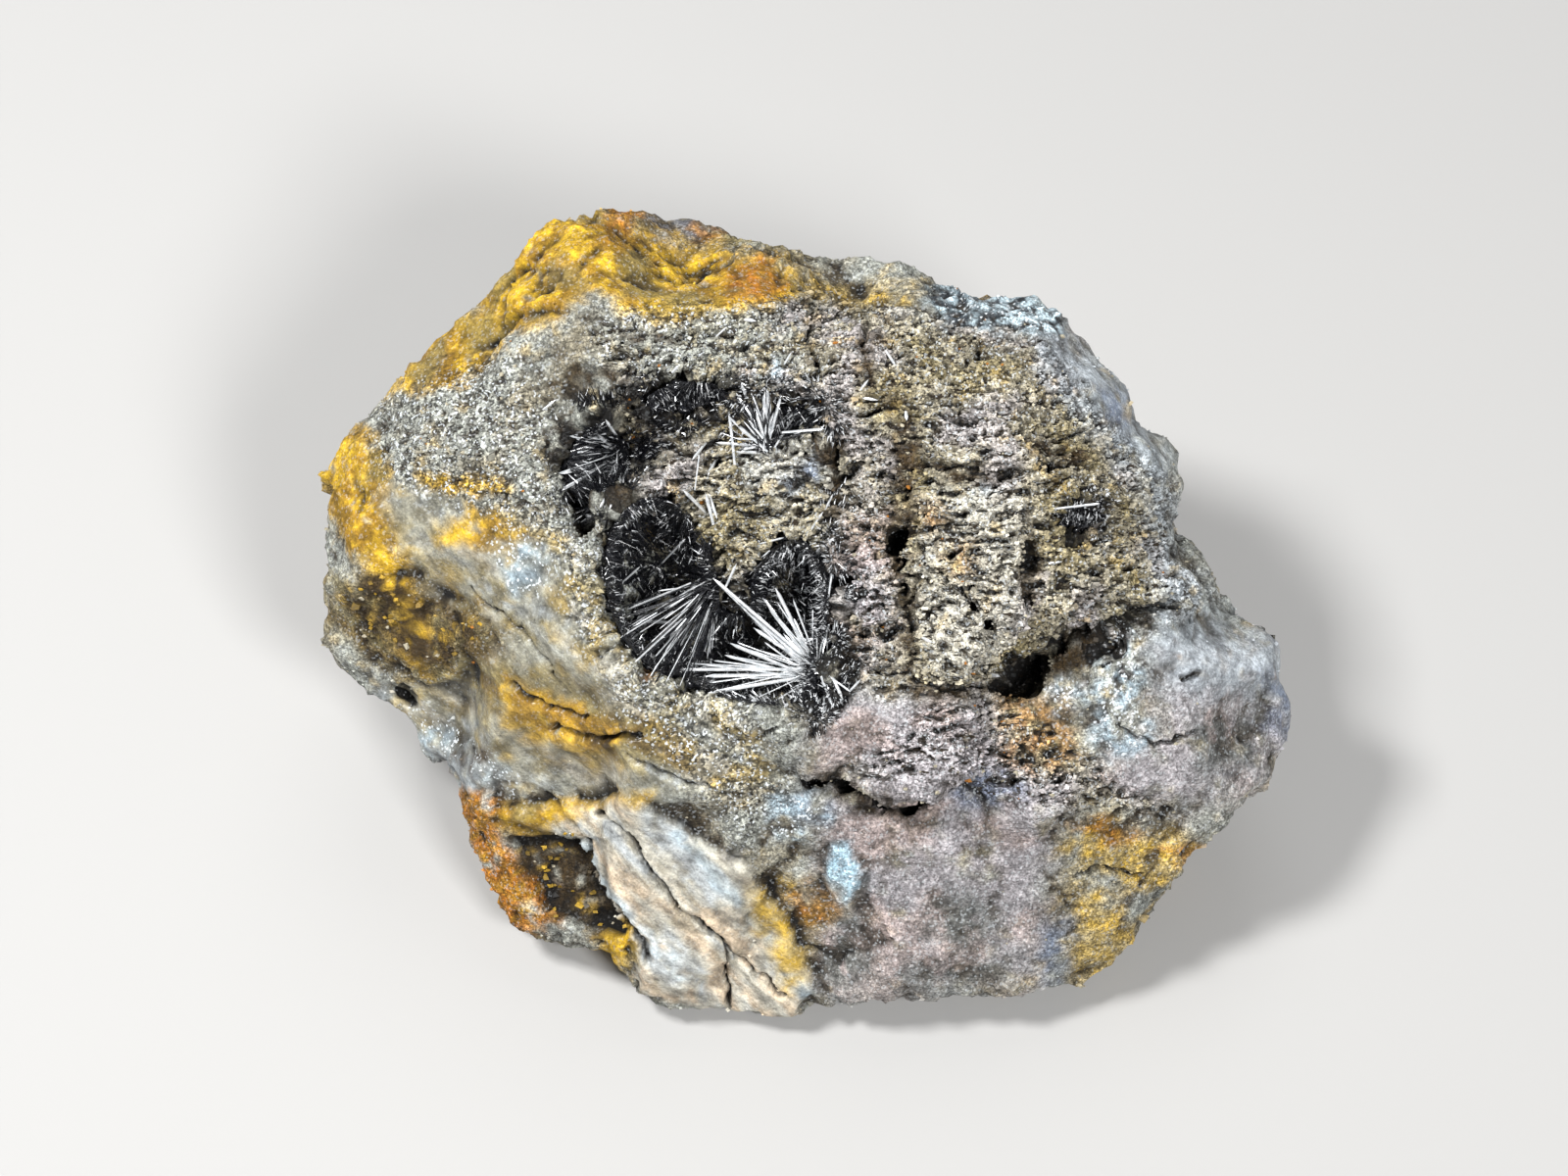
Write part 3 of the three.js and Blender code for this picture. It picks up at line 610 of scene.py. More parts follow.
def patch(pixels, outlines, softness=9):
    """How strongly pixels lie in any of the outlines: 0 outside, 1 well inside."""
    best = np.zeros(len(pixels))
    for outline in outlines:
        distance = line_distance(pixels, outline + outline[:1])
        signed = np.where(inside_outline(pixels, outline), distance, -distance)
        best = np.maximum(best, ramp(signed, -softness, softness))
    return best


def hollow_depth(points, name, margin=0):
    """How far into a crystal hollow points lie: 1 at its middle, 0 at its wall."""
    face = to_face(points)
    deepest = np.full(len(points), -9.0)
    for middle, half, turn in HOLLOWS[name]:
        local = turned(face - middle, -turn) / (np.array(half) + margin)
        deepest = np.maximum(deepest, 1 - np.linalg.norm(local, axis=1))
    return deepest


def deepest_hollow(points, margin=0):
    return np.max([hollow_depth(points, name, margin) for name in HOLLOWS], axis=0)


def stored(items, field, width, kind=float):
    """The values that Blender stores for each of many items, one row for each."""
    flat = np.empty(len(items) * width, kind)
    items.foreach_get(field, flat)
    return flat.reshape(-1, width)


def mesh_points(mesh):
    return stored(mesh.vertices, "co", 3) / MM


def set_mesh_points(mesh, points):
    mesh.vertices.foreach_set("co", (points * MM).ravel())
    mesh.update()


def mesh_normals(mesh):
    return stored(mesh.vertex_normals, "vector", 3)


def evened(points, edges, rounds):
    """Points after each has moved halfway to the mean of its neighbours, as many times as rounds."""
    ends = np.concatenate([edges[:, 0], edges[:, 1]])
    others = np.concatenate([edges[:, 1], edges[:, 0]])
    neighbours = np.bincount(ends, minlength=len(points))[:, None]
    for _ in range(rounds):
        sums = [np.bincount(ends, points[others, axis], len(points)) for axis in range(3)]
        points = (points + np.stack(sums, axis=1) / neighbours) / 2
    return points


def new_piece(name, mesh, material):
    piece = bpy.data.objects.new(name, mesh)
    bpy.context.scene.collection.objects.link(piece)
    mesh.materials.clear()
    mesh.materials.append(material)
    return piece


def evaluated(piece):
    """A new mesh of a piece with its modifiers applied."""
    graph = bpy.context.evaluated_depsgraph_get()
    return bpy.data.meshes.new_from_object(piece.evaluated_get(graph))


def remeshed(source, voxel):
    """A copy of a mesh with even faces of the voxel's size."""
    probe = bpy.data.objects.new("probe", source.copy())
    bpy.context.scene.collection.objects.link(probe)
    modifier = probe.modifiers.new("remesh", "REMESH")
    modifier.mode = "VOXEL"
    modifier.voxel_size = voxel * MM
    modifier.use_smooth_shade = True
    mesh = evaluated(probe)
    bpy.data.objects.remove(probe)
    return mesh


def divide_rough_ground(mesh):
    """Divides the faces of the rough ground, of the hollows' brinks and round the cracks once more."""
    work = bmesh.new()
    work.from_mesh(mesh)
    centres = np.array([face.calc_center_median() for face in work.faces]) / MM
    normals = np.array([face.normal for face in work.faces])
    pixels = to_pixels(centres)
    rough = patch(pixels, POROUS + SALT_AND_PEPPER + [VEIN, OVAL], 4) > 0.5
    cracked = np.min([line_distance(pixels, line) for line, _, _ in CRACKS], axis=0) < CRACK_REACH
    depth = deepest_hollow(centres)
    chosen = (rough | cracked | (depth > -0.3)) & (depth < 0.12) & (normals @ FACE_AXES[2] > FINE_FACING)
    edges = list({edge for face, is_chosen in zip(work.faces, chosen) if is_chosen for edge in face.edges})
    bmesh.ops.subdivide_edges(work, edges=edges, cuts=1, use_grid_fill=True)
    bmesh.ops.triangulate(work, faces=work.faces[:])
    work.to_mesh(mesh)
    work.free()


def thinned(piece, triangles):
    """Takes triangles away where the surface is most even, until that many are left."""
    modifier = piece.modifiers.new("thin", "DECIMATE")
    modifier.ratio = triangles / len(piece.data.polygons)
    mesh = evaluated(piece)
    piece.modifiers.clear()
    piece.data = mesh
    points = mesh_points(mesh)
    points[:, 2] = np.maximum(points[:, 2], 0)
    set_mesh_points(mesh, points)


def surface_marks(points, normals):
    """How strongly each mineral covers each point: as photographed on the display face, and scattered by
    noise on the sides and back, which the photograph doesn't show."""
    fray = np.stack([rough_noise(points, 1.6, seed, 3) for seed in (3, 6)], axis=1)
    pixels = to_pixels(points) + FRAY * noise_vectors(points, 5, 1, 2) + FRAY * fray
    outward = normals @ FACE_AXES[2]
    facing = ramp(outward, -0.5, -0.1)
    marks = {"facing": facing}
    for i, (name, (shapes, rarity, softness)) in enumerate(MINERALS.items()):
        unseen = ramp(rough_noise(points, HIDDEN_PATCH, 40 + 5 * i), rarity - 0.2, rarity + 0.1)
        marks[name] = facing * patch(pixels, shapes, softness) + (1 - facing) * unseen
    marks["ground"] = facing * patch(pixels, NEEDLE_GROUND)
    marks["gold"] = facing * patch(pixels, GOLD_GROUND)
    marks["shade"] = facing * patch(pixels, DEEP_SHADE, 6)
    marks["edge"] = ramp(outward, 0.65, 0.2) * ramp(outward, -0.7, -0.2)
    even = [marks["rim"], marks["slab"], 0.7 * marks["grey"], 0.3 * marks["yellow"], 0.45 * marks["mauve"]]
    marks["smooth"] = np.max(even, axis=0) * (1 - marks["porous"])
    hollow = deepest_hollow(points)
    marks["hollow"] = ramp(hollow + 0.05 * noise(points, 1.5, 9), 0.06, 0.16)
    marks["brink"] = ramp(hollow, -0.45, -0.1) * (1 - marks["hollow"])
    return marks


def fracture_height(points, marks):
    """Broken planes with sharp crests all over, lower on the display face and where the stone is smooth."""
    bent = points + 0.7 * noise_vectors(points, 3, 10)
    coarse_share = 1.2 - 0.75 * marks["facing"] + 0.35 * marks["yellow"]
    height = 0.2 * ridged_noise(points, 2.4, 21) + 1.3 * marks["edge"] * ridged_noise(points, 4, 24)
    for size, rise, seed in FRACTURES:
        _, number, away = cell_noise(bent, size, seed)
        lean = np.random.default_rng(seed).normal(size=(256, 3))
        share = coarse_share if size > FINE_FRACTURE else 0.6
        height += share * rise * (np.sum(lean[number] * away, axis=1) + number / 255 - 0.5)
    return height * (1 - 0.6 * marks["smooth"])


def pit_height(points, marks):
    """Pits of the porous face, longer across than up, and of the hidden sides here and there."""
    face = to_face(points) + 0.9 * noise_vectors(points, 4, 30) + 0.3 * noise_vectors(points, 1.2, 33)
    where = np.maximum(marks["porous"], 0.2 * marks["salt"])
    crowding = 0.5 + 0.5 * noise(points, 6, 34)
    height = np.zeros(len(points))
    for stretch, depth, seed in PITS:
        nearest, number, _ = cell_noise(face / stretch, 1, seed)
        radius = 0.32 + 0.25 * number / 255
        bowl = 1 - ramp(nearest, 0.6 * radius, radius)
        height -= depth * bowl * (number / 255 > 0.6 - 0.5 * crowding)
    return height * where


def bed_height(points, marks):
    """Thin beds: level ones in the porous face, and slanting ones in the smooth rim and the slab."""
    bent = to_face(points) + 0.5 * noise_vectors(points, 5, 50)
    height = np.zeros(len(points))
    for name, slant, stretch, thickness, strength in BEDS:
        beds = turned(bent, slant) * (stretch, 1, 0.5)
        relief = noise(beds, thickness, 53) + 0.6 * noise(beds, 2.5 * thickness, 54)
        height += strength * marks[name] * relief
    return height


def step_height(points, marks):
    """Parts of the display face that stand out of it or lie below it."""
    pixels = to_pixels(points) + 5 * noise_vectors(points, 2, 57, 2)
    height = np.zeros(len(points))
    for outline, rise in STEPS:
        height += rise * patch(pixels, [outline], 4)
    return height * marks["facing"]


def crack_height(points, marks):
    pixels = to_pixels(points) + 6 * noise_vectors(points, 1.6, 61, 2)
    height = np.zeros(len(points))
    for line, half_width, depth in CRACKS:
        distance = line_distance(pixels, line) / PIXELS_PER_MM
        height = np.minimum(height, -depth * (1 - ramp(distance, 0.35 * half_width, half_width)))
    return height * marks["facing"]


def vein_height(points):
    """Round shiny lumps of the blue-grey vein near the top right."""
    inside = patch(to_pixels(points), [VEIN])
    nearest, _, _ = cell_noise(points, VEIN_LUMP, VEIN_SEED)
    return 0.8 * inside * (np.sqrt(np.clip(1 - nearest ** 2, 0, 1)) - 0.6)


def brink_height(points, marks):
    """Ragged lips round the crystal hollows."""
    return 2.1 * marks["brink"] * ridged_noise(points, 2.4, 75, 4)


def relief_height(points, marks):
    """All the relief, in mm along the surface's normals, lower in the hollows and fading at the floor."""
    height = fracture_height(points, marks) + bed_height(points, marks) + brink_height(points, marks)
    height += pit_height(points, marks) + crack_height(points, marks) + vein_height(points)
    height += step_height(points, marks)
    height *= 1 - 0.7 * marks["hollow"]
    return height * ramp(points[:, 2], 0.1, 2.5)


def kept_in_box(points):
    """Points moved back to the CAD box where they stand further out of it than the relief may."""
    low, high = (np.array(corner) / MM for corner in cad_box)
    low = low - (OVERSIZE, OVERSIZE, 0)
    return np.clip(points, low, high + OVERSIZE)


def mixed(colours, colour, amount):
    return colours + (np.array(colour) - colours) * np.clip(amount, 0, 1)[:, None]


def layered(colours, layers):
    """Colours with each layer's own colour mixed in by its amount, one layer after another."""
    for colour, amount in layers:
        colours = mixed(colours, colour, amount)
    return colours


def stone_colours(points, marks, sunk):
    """Each point's mineral colour, from its marks and noise, with painted shade where it is sunk below its
    surroundings and painted light where it stands above them.
    """
    tones = {
        "hues": 0.5 + 0.5 * rough_noise(points, 7, 101),
        "clouds": 0.5 + 0.5 * rough_noise(points, 5, 81),
        "streaks": 0.5 + 0.5 * rough_noise(points, 1.5, 85),
        "specks": 0.5 + 0.5 * rough_noise(points, 0.9, 88, 2),
    }
    colours = ground_colours(points, marks, tones)
    colours = banded(colours, points, marks)
    colours = sheen_colours(colours, points, marks, tones)
    colours = ochre_colours(colours, points, marks, tones)
    return dark_colours(colours, marks, tones, sunk)


def ground_colours(points, marks, tones):
    """The tan, olive, grey and mauve of the ore itself."""
    clouds, streaks, hues = tones["clouds"], tones["streaks"], tones["hues"]
    porous, mauve = marks["porous"], marks["mauve"]
    return layered(np.tile(np.array(TAN_STONE), (len(points), 1)), [
        (BUFF_STONE, porous * ramp(clouds, 0.3, 0.7)),
        (OLIVE_STONE, 0.6 * porous * ramp(hues, 0.5, 0.75)),
        (MAUVE_STONE, 0.7 * porous * ramp(hues, 0.45, 0.2)),
        (GREY_STONE, (1 - porous) * ramp(clouds, 0.2, 0.6)),
        (MAUVE_STONE, 0.9 * mauve * ramp(clouds + streaks, 0.4, 0.9)),
        (PINK_STONE, 0.6 * mauve * ramp(hues, 0.45, 0.65)),
        (GREY_BLUE, 0.85 * marks["grey"] * ramp(streaks, 0.05, 0.4)),
        (OLIVE_GREY_STONE, 0.9 * marks["olive_grey"] * ramp(streaks, 0.1, 0.5)),
        (GREY_STONE, marks["salt"] * ramp(clouds + streaks, 0.6, 1.1)),
    ])


def banded(colours, points, marks):
    """The streaks of the smooth rim and its brown band, and the slab's, with the slab's pale blue ribs."""
    face = to_face(points) + 0.7 * noise_vectors(points, 6, 90)
    patchy = 0.5 + 0.5 * rough_noise(points, 3, 93)
    rim_bands = 0.5 + 0.5 * noise(turned(face, 34) * (0.08, 1, 0.4), 1.5, 94)
    rim_threads = 0.5 + 0.5 * noise(turned(face, 38) * (0.1, 1, 0.4), 0.5, 96)
    slab_bands = 0.5 + 0.5 * noise(turned(face, 48) * (0.05, 1, 0.3), 1.4, 95)
    slab_threads = 0.5 + 0.5 * noise(turned(face, 48) * (0.06, 1, 0.3), 0.5, 92)
    rim, slab, brown = marks["rim"], marks["slab"], marks["brown"]
    pixels = to_pixels(points) + 6 * noise_vectors(points, 2, 99, 2)
    ribs = np.min([line_distance(pixels, rib) for rib in SLAB_RIBS], axis=0)
    return layered(colours, [
        (WARM_GREY, rim),
        (PALE_SLAB_STONE, 0.7 * rim * ramp(rim_bands + 0.3 * rim_threads, 0.65, 0.85)),
        (GREY_BLUE, 0.7 * rim * ramp(1 - rim_bands, 0.5, 0.75) * ramp(patchy, 0.3, 0.6)),
        (OLIVE_STONE, 0.7 * rim * ramp(patchy + 0.4 * rim_threads, 0.65, 0.9)),
        (PALE_OCHRE, 0.7 * rim * ramp(rim_bands * patchy, 0.3, 0.45)),
        (OLIVE_STONE, 0.85 * brown * ramp(patchy + 0.4 * rim_threads, 0.2, 0.6)),
        (BROWN_STONE, 0.9 * brown * ramp(rim_bands + 0.5 * rim_threads, 0.6, 0.9)),
        (PALE_SLAB_STONE, slab),
        (WARM_SLAB, 0.6 * slab * ramp(slab_bands + 0.5 * slab_threads, 0.75, 0.95)),
        (GREY_BLUE, 0.7 * slab * ramp(slab_bands + 0.5 * slab_threads, 0.7, 0.5)),
        (TAN_STONE, 0.6 * slab * ramp(patchy * slab_threads, 0.3, 0.5)),
        (BLUE_WHITE_SHEEN, 0.6 * marks["facing"] * (1 - ramp(ribs, 2, 9))),
    ])


def sheen_colours(colours, points, marks, tones):
    """The slate blue and blue-white sheens, the blue-white partly painted reflection, the shiny vein's round
    lumps with painted highlights on their middles, and the oval patch.
    """
    streaks = tones["streaks"]
    facing = marks["facing"]
    hidden = (1 - facing)[:, None]
    pixels = to_pixels(points) + (4 + 40 * hidden) * noise_vectors(points, 1.5, 103, 2)
    vein = facing * patch(pixels, [VEIN], 4)
    nearest, number, _ = cell_noise(points, VEIN_LUMP, VEIN_SEED)
    # painted highlight on the middles of the vein's round lumps, strongest in its bright part
    bright = ramp(nearest, 0.62, 0.4) * (0.2 + 0.8 * number / 255)
    bright = np.maximum(bright, patch(pixels, [BRIGHT_VEIN], 4) * ramp(nearest, 0.58, 0.46))
    return layered(colours, [
        (SLATE_SHEEN, 0.8 * marks["slate"] * ramp(streaks, 0.1, 0.5)),
        # the blue-white sheen is partly painted reflection
        (BLUE_WHITE_SHEEN, 0.8 * marks["blue_white"] * ramp(streaks, 0.3, 0.65)),
        (DARK_SLATE, vein),
        (LUMP_HIGHLIGHT, vein * bright),
        (OVAL_SHEEN, facing * patch(pixels, [OVAL], 4) * ramp(streaks, 0.1, 0.5)),
    ])


def ochre_colours(colours, points, marks, tones):
    """The yellow, brown and orange ochres, the tints over them, and ochre dust here and there."""
    clouds, streaks, specks = tones["clouds"], tones["streaks"], tones["specks"]
    yellow, pale_yellow, facing = marks["yellow"], marks["pale_yellow"], marks["facing"]
    rust = marks["orange"] * ramp(streaks, 0.1, 0.4)
    pixels = to_pixels(points)
    tint = facing * patch(pixels, ORANGE_TINT, 16)
    dust = ramp(rough_noise(points, 2.2, 97), 0.35, 0.8) * (1 - marks["mauve"]) * (1 - marks["slab"])
    dust *= 1 - facing * patch(pixels, [VEIN, OVAL], 9)
    return layered(colours, [
        (PALE_OCHRE, pale_yellow * ramp(streaks, 0, 0.4)),
        (YELLOW_OCHRE, 0.7 * pale_yellow * ramp(streaks, 0.5, 0.8)),
        (YELLOW_OCHRE, yellow * ramp(streaks, 0.05, 0.3)),
        (BROWN_OCHRE, 0.9 * yellow * ramp(clouds + 0.8 * specks, 0.85, 1.1)),
        (OLIVE_STONE, 0.8 * yellow * ramp(tones["hues"], 0.6, 0.8)),
        (BROWN_OCHRE, 0.7 * yellow * marks["brown"] * ramp(streaks, 0.2, 0.5)),
        (ORANGE_OCHRE, rust),
        (BROWN_OCHRE, 0.8 * rust * ramp(specks, 0.35, 0.6)),
        (PALE_SLAB_STONE, 0.9 * facing * patch(pixels, PALE_TINT, 12)),
        (PALE_OCHRE, 0.6 * tint),
        (ORANGE_OCHRE, 0.5 * tint * ramp(streaks, 0.25, 0.6)),
        (YELLOW_OCHRE, 0.3 * dust),
    ])


def dark_colours(colours, marks, tones, sunk):
    """The black stains with their gold grains, painted light on the crests, painted shade in the pits and
    crevices and under the ledges, and the black hollows.
    """
    streaks = tones["streaks"]
    stained = layered(colours, [
        # the black marks are partly real stain and partly painted shadow in grooves, clefts and under ledges
        (DARK_BROWN, marks["black"] * ramp(streaks, 0.2, 0.6)),
        (GOLD_GRAIN, 0.6 * marks["gold"] * ramp(tones["specks"], 0.62, 0.78)),
    ])
    # painted light: crests that stand above their surroundings are lightened
    crests_lit = stained * (1 + 0.3 * ramp(-sunk, 0.02, 0.2))[:, None]
    return layered(crests_lit, [
        # painted shade: dark brown and near black where the surface is sunk
        (DARK_BROWN, 0.85 * ramp(sunk, 0.02, 0.16) * (1 - 0.6 * marks["smooth"])),
        (NEAR_BLACK, ramp(sunk, 0.1, 0.35)),
        (NEAR_BLACK, marks["brink"] * marks["ground"] * ramp(streaks, 0.25, 0.6)),
        # painted shadow: near black under the ledges and in the holes
        (NEAR_BLACK, 0.9 * marks["shade"] * ramp(streaks, 0.1, 0.4)),
        (NEAR_BLACK, marks["hollow"]),
    ])


def add_attribute(mesh, name, colours):
    rgba = np.ones((len(colours), 4), np.float32)
    rgba[:, :3] = colours
    mesh.attributes.new(name, "FLOAT_COLOR", "POINT").data.foreach_set("color", rgba.ravel())


def texture_channels(marks):
    """How porous, how salt and peppered, and how shiny each point is."""
    pores = marks["porous"] + 0.5 * marks["salt"] + 0.2 * marks["mauve"]
    pores = np.clip(pores + 0.3 - 0.6 * marks["smooth"], 0, 1)
    salt = 0.25 + marks["salt"] + 0.4 * marks["porous"] + 0.12 * marks["mauve"]
    salt = np.clip(salt - 0.14 * marks["smooth"], 0, 1)
    salt *= 1 - 0.9 * np.maximum(marks["black"], marks["brink"] * marks["ground"])
    shine = marks["blue_white"] + 0.5 * marks["slate"] + 0.35 * marks["grey"]
    shine = np.clip(shine + 0.4 * marks["salt"] + 0.6 * marks["rim"] + 0.3 * marks["slab"], 0, 1)
    dry = 1 - marks["hollow"]
    return np.stack([pores * dry, salt * dry, shine * dry], axis=1)


def make_stone():
    """The stone: an evenly meshed copy of the CAD stone with its broken relief, and its colours by point."""
    mesh = remeshed(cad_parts["stone"].data, STONE_VOXEL)
    divide_rough_ground(mesh)
    edges = stored(mesh.edges, "vertices", 2, int)
    set_mesh_points(mesh, evened(mesh_points(mesh), edges, SMOOTHING_ROUNDS))
    points, normals = mesh_points(mesh), mesh_normals(mesh)
    marks = surface_marks(points, normals)
    moved = kept_in_box(points + normals * relief_height(points, marks)[:, None])
    set_mesh_points(mesh, moved)
    mesh.shade_smooth()
    # how far each point lies below its evened surroundings, for painted shade where sunk and painted light
    # where it stands out
    sunk = np.sum((evened(moved, edges, SUNK_ROUNDS) - moved) * mesh_normals(mesh), axis=1)
    add_attribute(mesh, "mineral", stone_colours(points, marks, sunk))
    add_attribute(mesh, "texture", texture_channels(marks))
    piece = new_piece("ore_block", mesh, stone_material())
    thinned(piece, STONE_TRIANGLES)
    return piece


def mesh_from(name, points, faces):
    """A mesh of faces between points in mm."""
    mesh = bpy.data.meshes.new(name)
    mesh.from_pydata((points.reshape(-1, 3) * MM).tolist(), [], faces)
    return mesh


def mesh_of_spikes(name, roots, tips, widths, rng):
    """One mesh of three-sided spikes, for the finest needles."""
    count = len(roots)
    ways = unit(tips - roots)
    across = unit(np.cross(ways, rng.normal(size=(count, 3)))) * widths[:, None] / 2
    over = np.cross(ways, across)
    points = np.stack([roots + across, roots - across / 2 + over, roots - across / 2 - over, tips], axis=1)
    sides = [(2, 1, 0), (0, 1, 3), (1, 2, 3), (2, 0, 3)]
    faces = [tuple(4 * i + corner for corner in side) for i in range(count) for side in sides]
    return mesh_from(name, points, faces)


def mesh_of_needles(name, roots, tips, widths, sides, rng):
    """One mesh of flat-sided needles: a base ring, a shoulder ring near the tip, and the tip itself."""
    count = len(roots)
    ways = unit(tips - roots)
    across = unit(np.cross(ways, rng.normal(size=(count, 3))))
    over = np.cross(ways, across)
    angles = np.arange(sides) * 2 * math.pi / sides
    ring = np.cos(angles)[None, :, None] * across[:, None] + np.sin(angles)[None, :, None] * over[:, None]
    half = widths[:, None, None] / 2
    lengths = np.linalg.norm(tips - roots, axis=1)
    shoulder = roots + ways * (lengths - np.minimum(2.2 * widths, 0.4 * lengths))[:, None]
    base_ring = roots[:, None] + 0.8 * half * ring
    shoulder_ring = shoulder[:, None] + half * ring
    points = np.concatenate([base_ring, shoulder_ring, tips[:, None]], axis=1)
    stride = 2 * sides + 1
    faces = []
    for first in range(0, count * stride, stride):
        low = [first + i for i in range(sides)]
        high = [first + sides + i for i in range(sides)]
        faces.append(low[::-1])
        for i in range(sides):
            after = (i + 1) % sides
            faces.append((low[i], low[after], high[after], high[i]))
            faces.append((high[i], high[after], first + 2 * sides))
    return mesh_from(name, points, faces)


def crust_points(name, count, rng):
    """Random points on the crust of a hollow, and the way into the hollow from each. Points with no stone
    right behind them are left out, so none stands in the open above the display face."""
    chambers = HOLLOWS[name]
    volume = np.array([half[0] * half[1] for _, half, _ in chambers])
    pick = rng.choice(len(chambers), count, p=volume / volume.sum())
    ball = unit(rng.normal(size=(count, 3)))
    points = np.empty((count, 3))
    ways = np.empty((count, 3))
    for i, (middle, half, turn) in enumerate(chambers):
        mine = pick == i
        shell = np.array(half) - CRUST_INSET
        points[mine] = to_part(turned(ball[mine] * shell, turn) + middle)
        ways[mine] = -unit(turned(ball[mine] / shell, turn) @ FACE_AXES)
    wall = hollow_depth(points, name, -CRUST_INSET - 0.1) < 0.03
    backed = np.array([is_backed(p, -way) for p, way in zip(points, ways)])
    return points[wall & backed], ways[wall & backed]


def is_backed(point, way):
    """Whether the stone lies right behind a point of a crust."""
    return stone_tree.ray_cast(Vector(point * MM), Vector(way), CRUST_BACKING * MM)[0] is not None


def brink_points(name, count, rng, stone):
    """Random points of the stone's surface round a hollow, crowded towards it, with their normals."""
    points = mesh_points(stone.data)
    depth = hollow_depth(points, name)
    weight = ramp(depth, -0.75, 0) * (depth < 0.1) * ramp(noise(points, 2.5, 77), -0.2, 0.4)
    weight *= patch(to_pixels(points), NEEDLE_GROUND)
    chosen = rng.choice(len(points), count, p=weight / weight.sum())
    normals = mesh_normals(stone.data)[chosen]
    return points[chosen] - 0.15 * normals, normals


def radiating_tips(roots, ways, centres, length, spread, rng):
    """Tips of needles that fan out from the nearest of the tuft centres."""
    gaps = np.linalg.norm(roots[:, None] - centres[None], axis=2)
    nearest = gaps.argmin(axis=1)
    fan = (roots - centres[nearest]) * spread
    lengths = rng.uniform(*length, len(roots))
    return roots + unit(ways + fan + rng.normal(size=roots.shape) * 0.25) * lengths[:, None]


def crust_mesh(name):
    """The thin floor of fused crystals that the needles stand on."""
    work = bmesh.new()
    for middle, half, turn in HOLLOWS[name]:
        start = len(work.verts)
        bmesh.ops.create_icosphere(work, subdivisions=5 if len(HOLLOWS[name]) > 1 else 4, radius=1)
        work.verts.ensure_lookup_table()
        ball = np.array([v.co for v in work.verts[start:]])
        lumps = CRUST_LUMPS * rough_noise(ball * half, 1.6, 91)
        shell = turned(ball * (np.array(half) - CRUST_INSET + lumps[:, None]), turn) + middle
        for vertex, place in zip(work.verts[start:], to_part(shell)):
            vertex.co = place * MM
    work.normal_update()
    points = np.array([v.co for v in work.verts]) / MM
    inside = hollow_depth(points, name, -CRUST_INSET - 0.5) > 0.02
    edge = CRUST_EDGE + rough_noise(points, 3, 98)
    doomed = [
        vertex for vertex, point, hidden, rise in zip(work.verts, points, inside, edge)
        if hidden or not is_backed(point + rise * FACE_AXES[2], np.array(vertex.normal))]
    bmesh.ops.delete(work, geom=doomed, context="VERTS")
    bmesh.ops.solidify(work, geom=work.faces[:], thickness=-CRUST_THICKNESS * MM)
    mesh = bpy.data.meshes.new(name)
    work.to_mesh(mesh)
    work.free()
    mesh.shade_smooth()
    return mesh


def fan_of_needles(root, tips, count, rng, gap=0):
    """Roots and tips of the listed needles and of count more between them, each starting up to gap of its
    length from the root."""
    first = rng.integers(0, len(tips) - 1, count)
    mix = rng.random(count)[:, None]
    between = tips[first] * (1 - mix) + tips[first + 1] * mix
    shorter = root + (between - root) * rng.uniform(0.45, 1.02, count)[:, None]
    ends = np.concatenate([tips, shorter + rng.normal(size=(count, 3)) * FAN_SCATTER])
    starts = root + rng.normal(size=(len(ends), 3)) * ROOT_SCATTER
    starts += (ends - starts) * rng.uniform(0, gap, len(ends))[:, None]
    return starts, ends


def needle_part(roots, tips, widths, sides, material, rng):
    thickness = rng.uniform(*widths, len(roots))
    mesh = mesh_of_needles("part", roots, kept_in_box(tips), thickness, sides, rng)
    return new_piece("part", mesh, material)


def spike_part(roots, tips, widths, material, rng):
    thickness = rng.uniform(*widths, len(roots))
    mesh = mesh_of_spikes("part", roots, kept_in_box(tips), thickness, rng)
    return new_piece("part", mesh, material)


def joined(name, objects):
    """One piece made of several, keeping each one's material."""
    bpy.ops.object.select_all(action="DESELECT")
    for one in objects:
        one.select_set(True)
    bpy.context.view_layer.objects.active = objects[0]
    bpy.ops.object.join()
    objects[0].name = name
    return objects[0]


def mat_parts(name, rng, stone, count, length, width, tufts, over_brink=0.25):
    """A mat of fine black needles in tufts, some with a silver tip as a painted glint, on the crust and over
    its brink.
    """
    roots, ways = crust_points(name, count, rng)
    brink_roots, brink_ways = brink_points(name, int(over_brink * count), rng, stone)
    roots = np.concatenate([roots, brink_roots])
    ways = np.concatenate([ways, brink_ways])
    centres = roots[rng.integers(0, len(roots), tufts)]
    tips = radiating_tips(roots, ways, centres, length, 0.7, rng)
    on_brink = slice(len(roots) - len(brink_roots), None)
    tips[on_brink] = roots[on_brink] + BRINK_LENGTH * (tips - roots)[on_brink]
    # painted glints: silver spikes over the outer part of some black needles, more of them to the right
    share = GLINTING_SHARE * (0.8 + 2 * ramp(to_pixels(roots)[:, 0], *GLINTING_SIDE))
    lit = rng.random(len(roots)) < share
    glint_roots = roots[lit] + 0.6 * (tips - roots)[lit]
    glint_tips = roots[lit] + 1.03 * (tips - roots)[lit]
    return [
        spike_part(roots, tips, width, black_needles, rng),
        spike_part(glint_roots, glint_tips, (width[0] + 0.02, width[1] + 0.04), silver_needles, rng),
    ]


def photo_fan(root, tips, rise, count, rng, gap=0):
    """A fan of needles whose root and tips are pixels, the tips raised off the surface by rise."""
    start = seen_at(*root) + 0.3 * FACE_AXES[2]
    ends = np.array([seen_at(*tip) for tip in tips]) + rise * FACE_AXES[2]
    return fan_of_needles(start, ends, count, rng, gap)


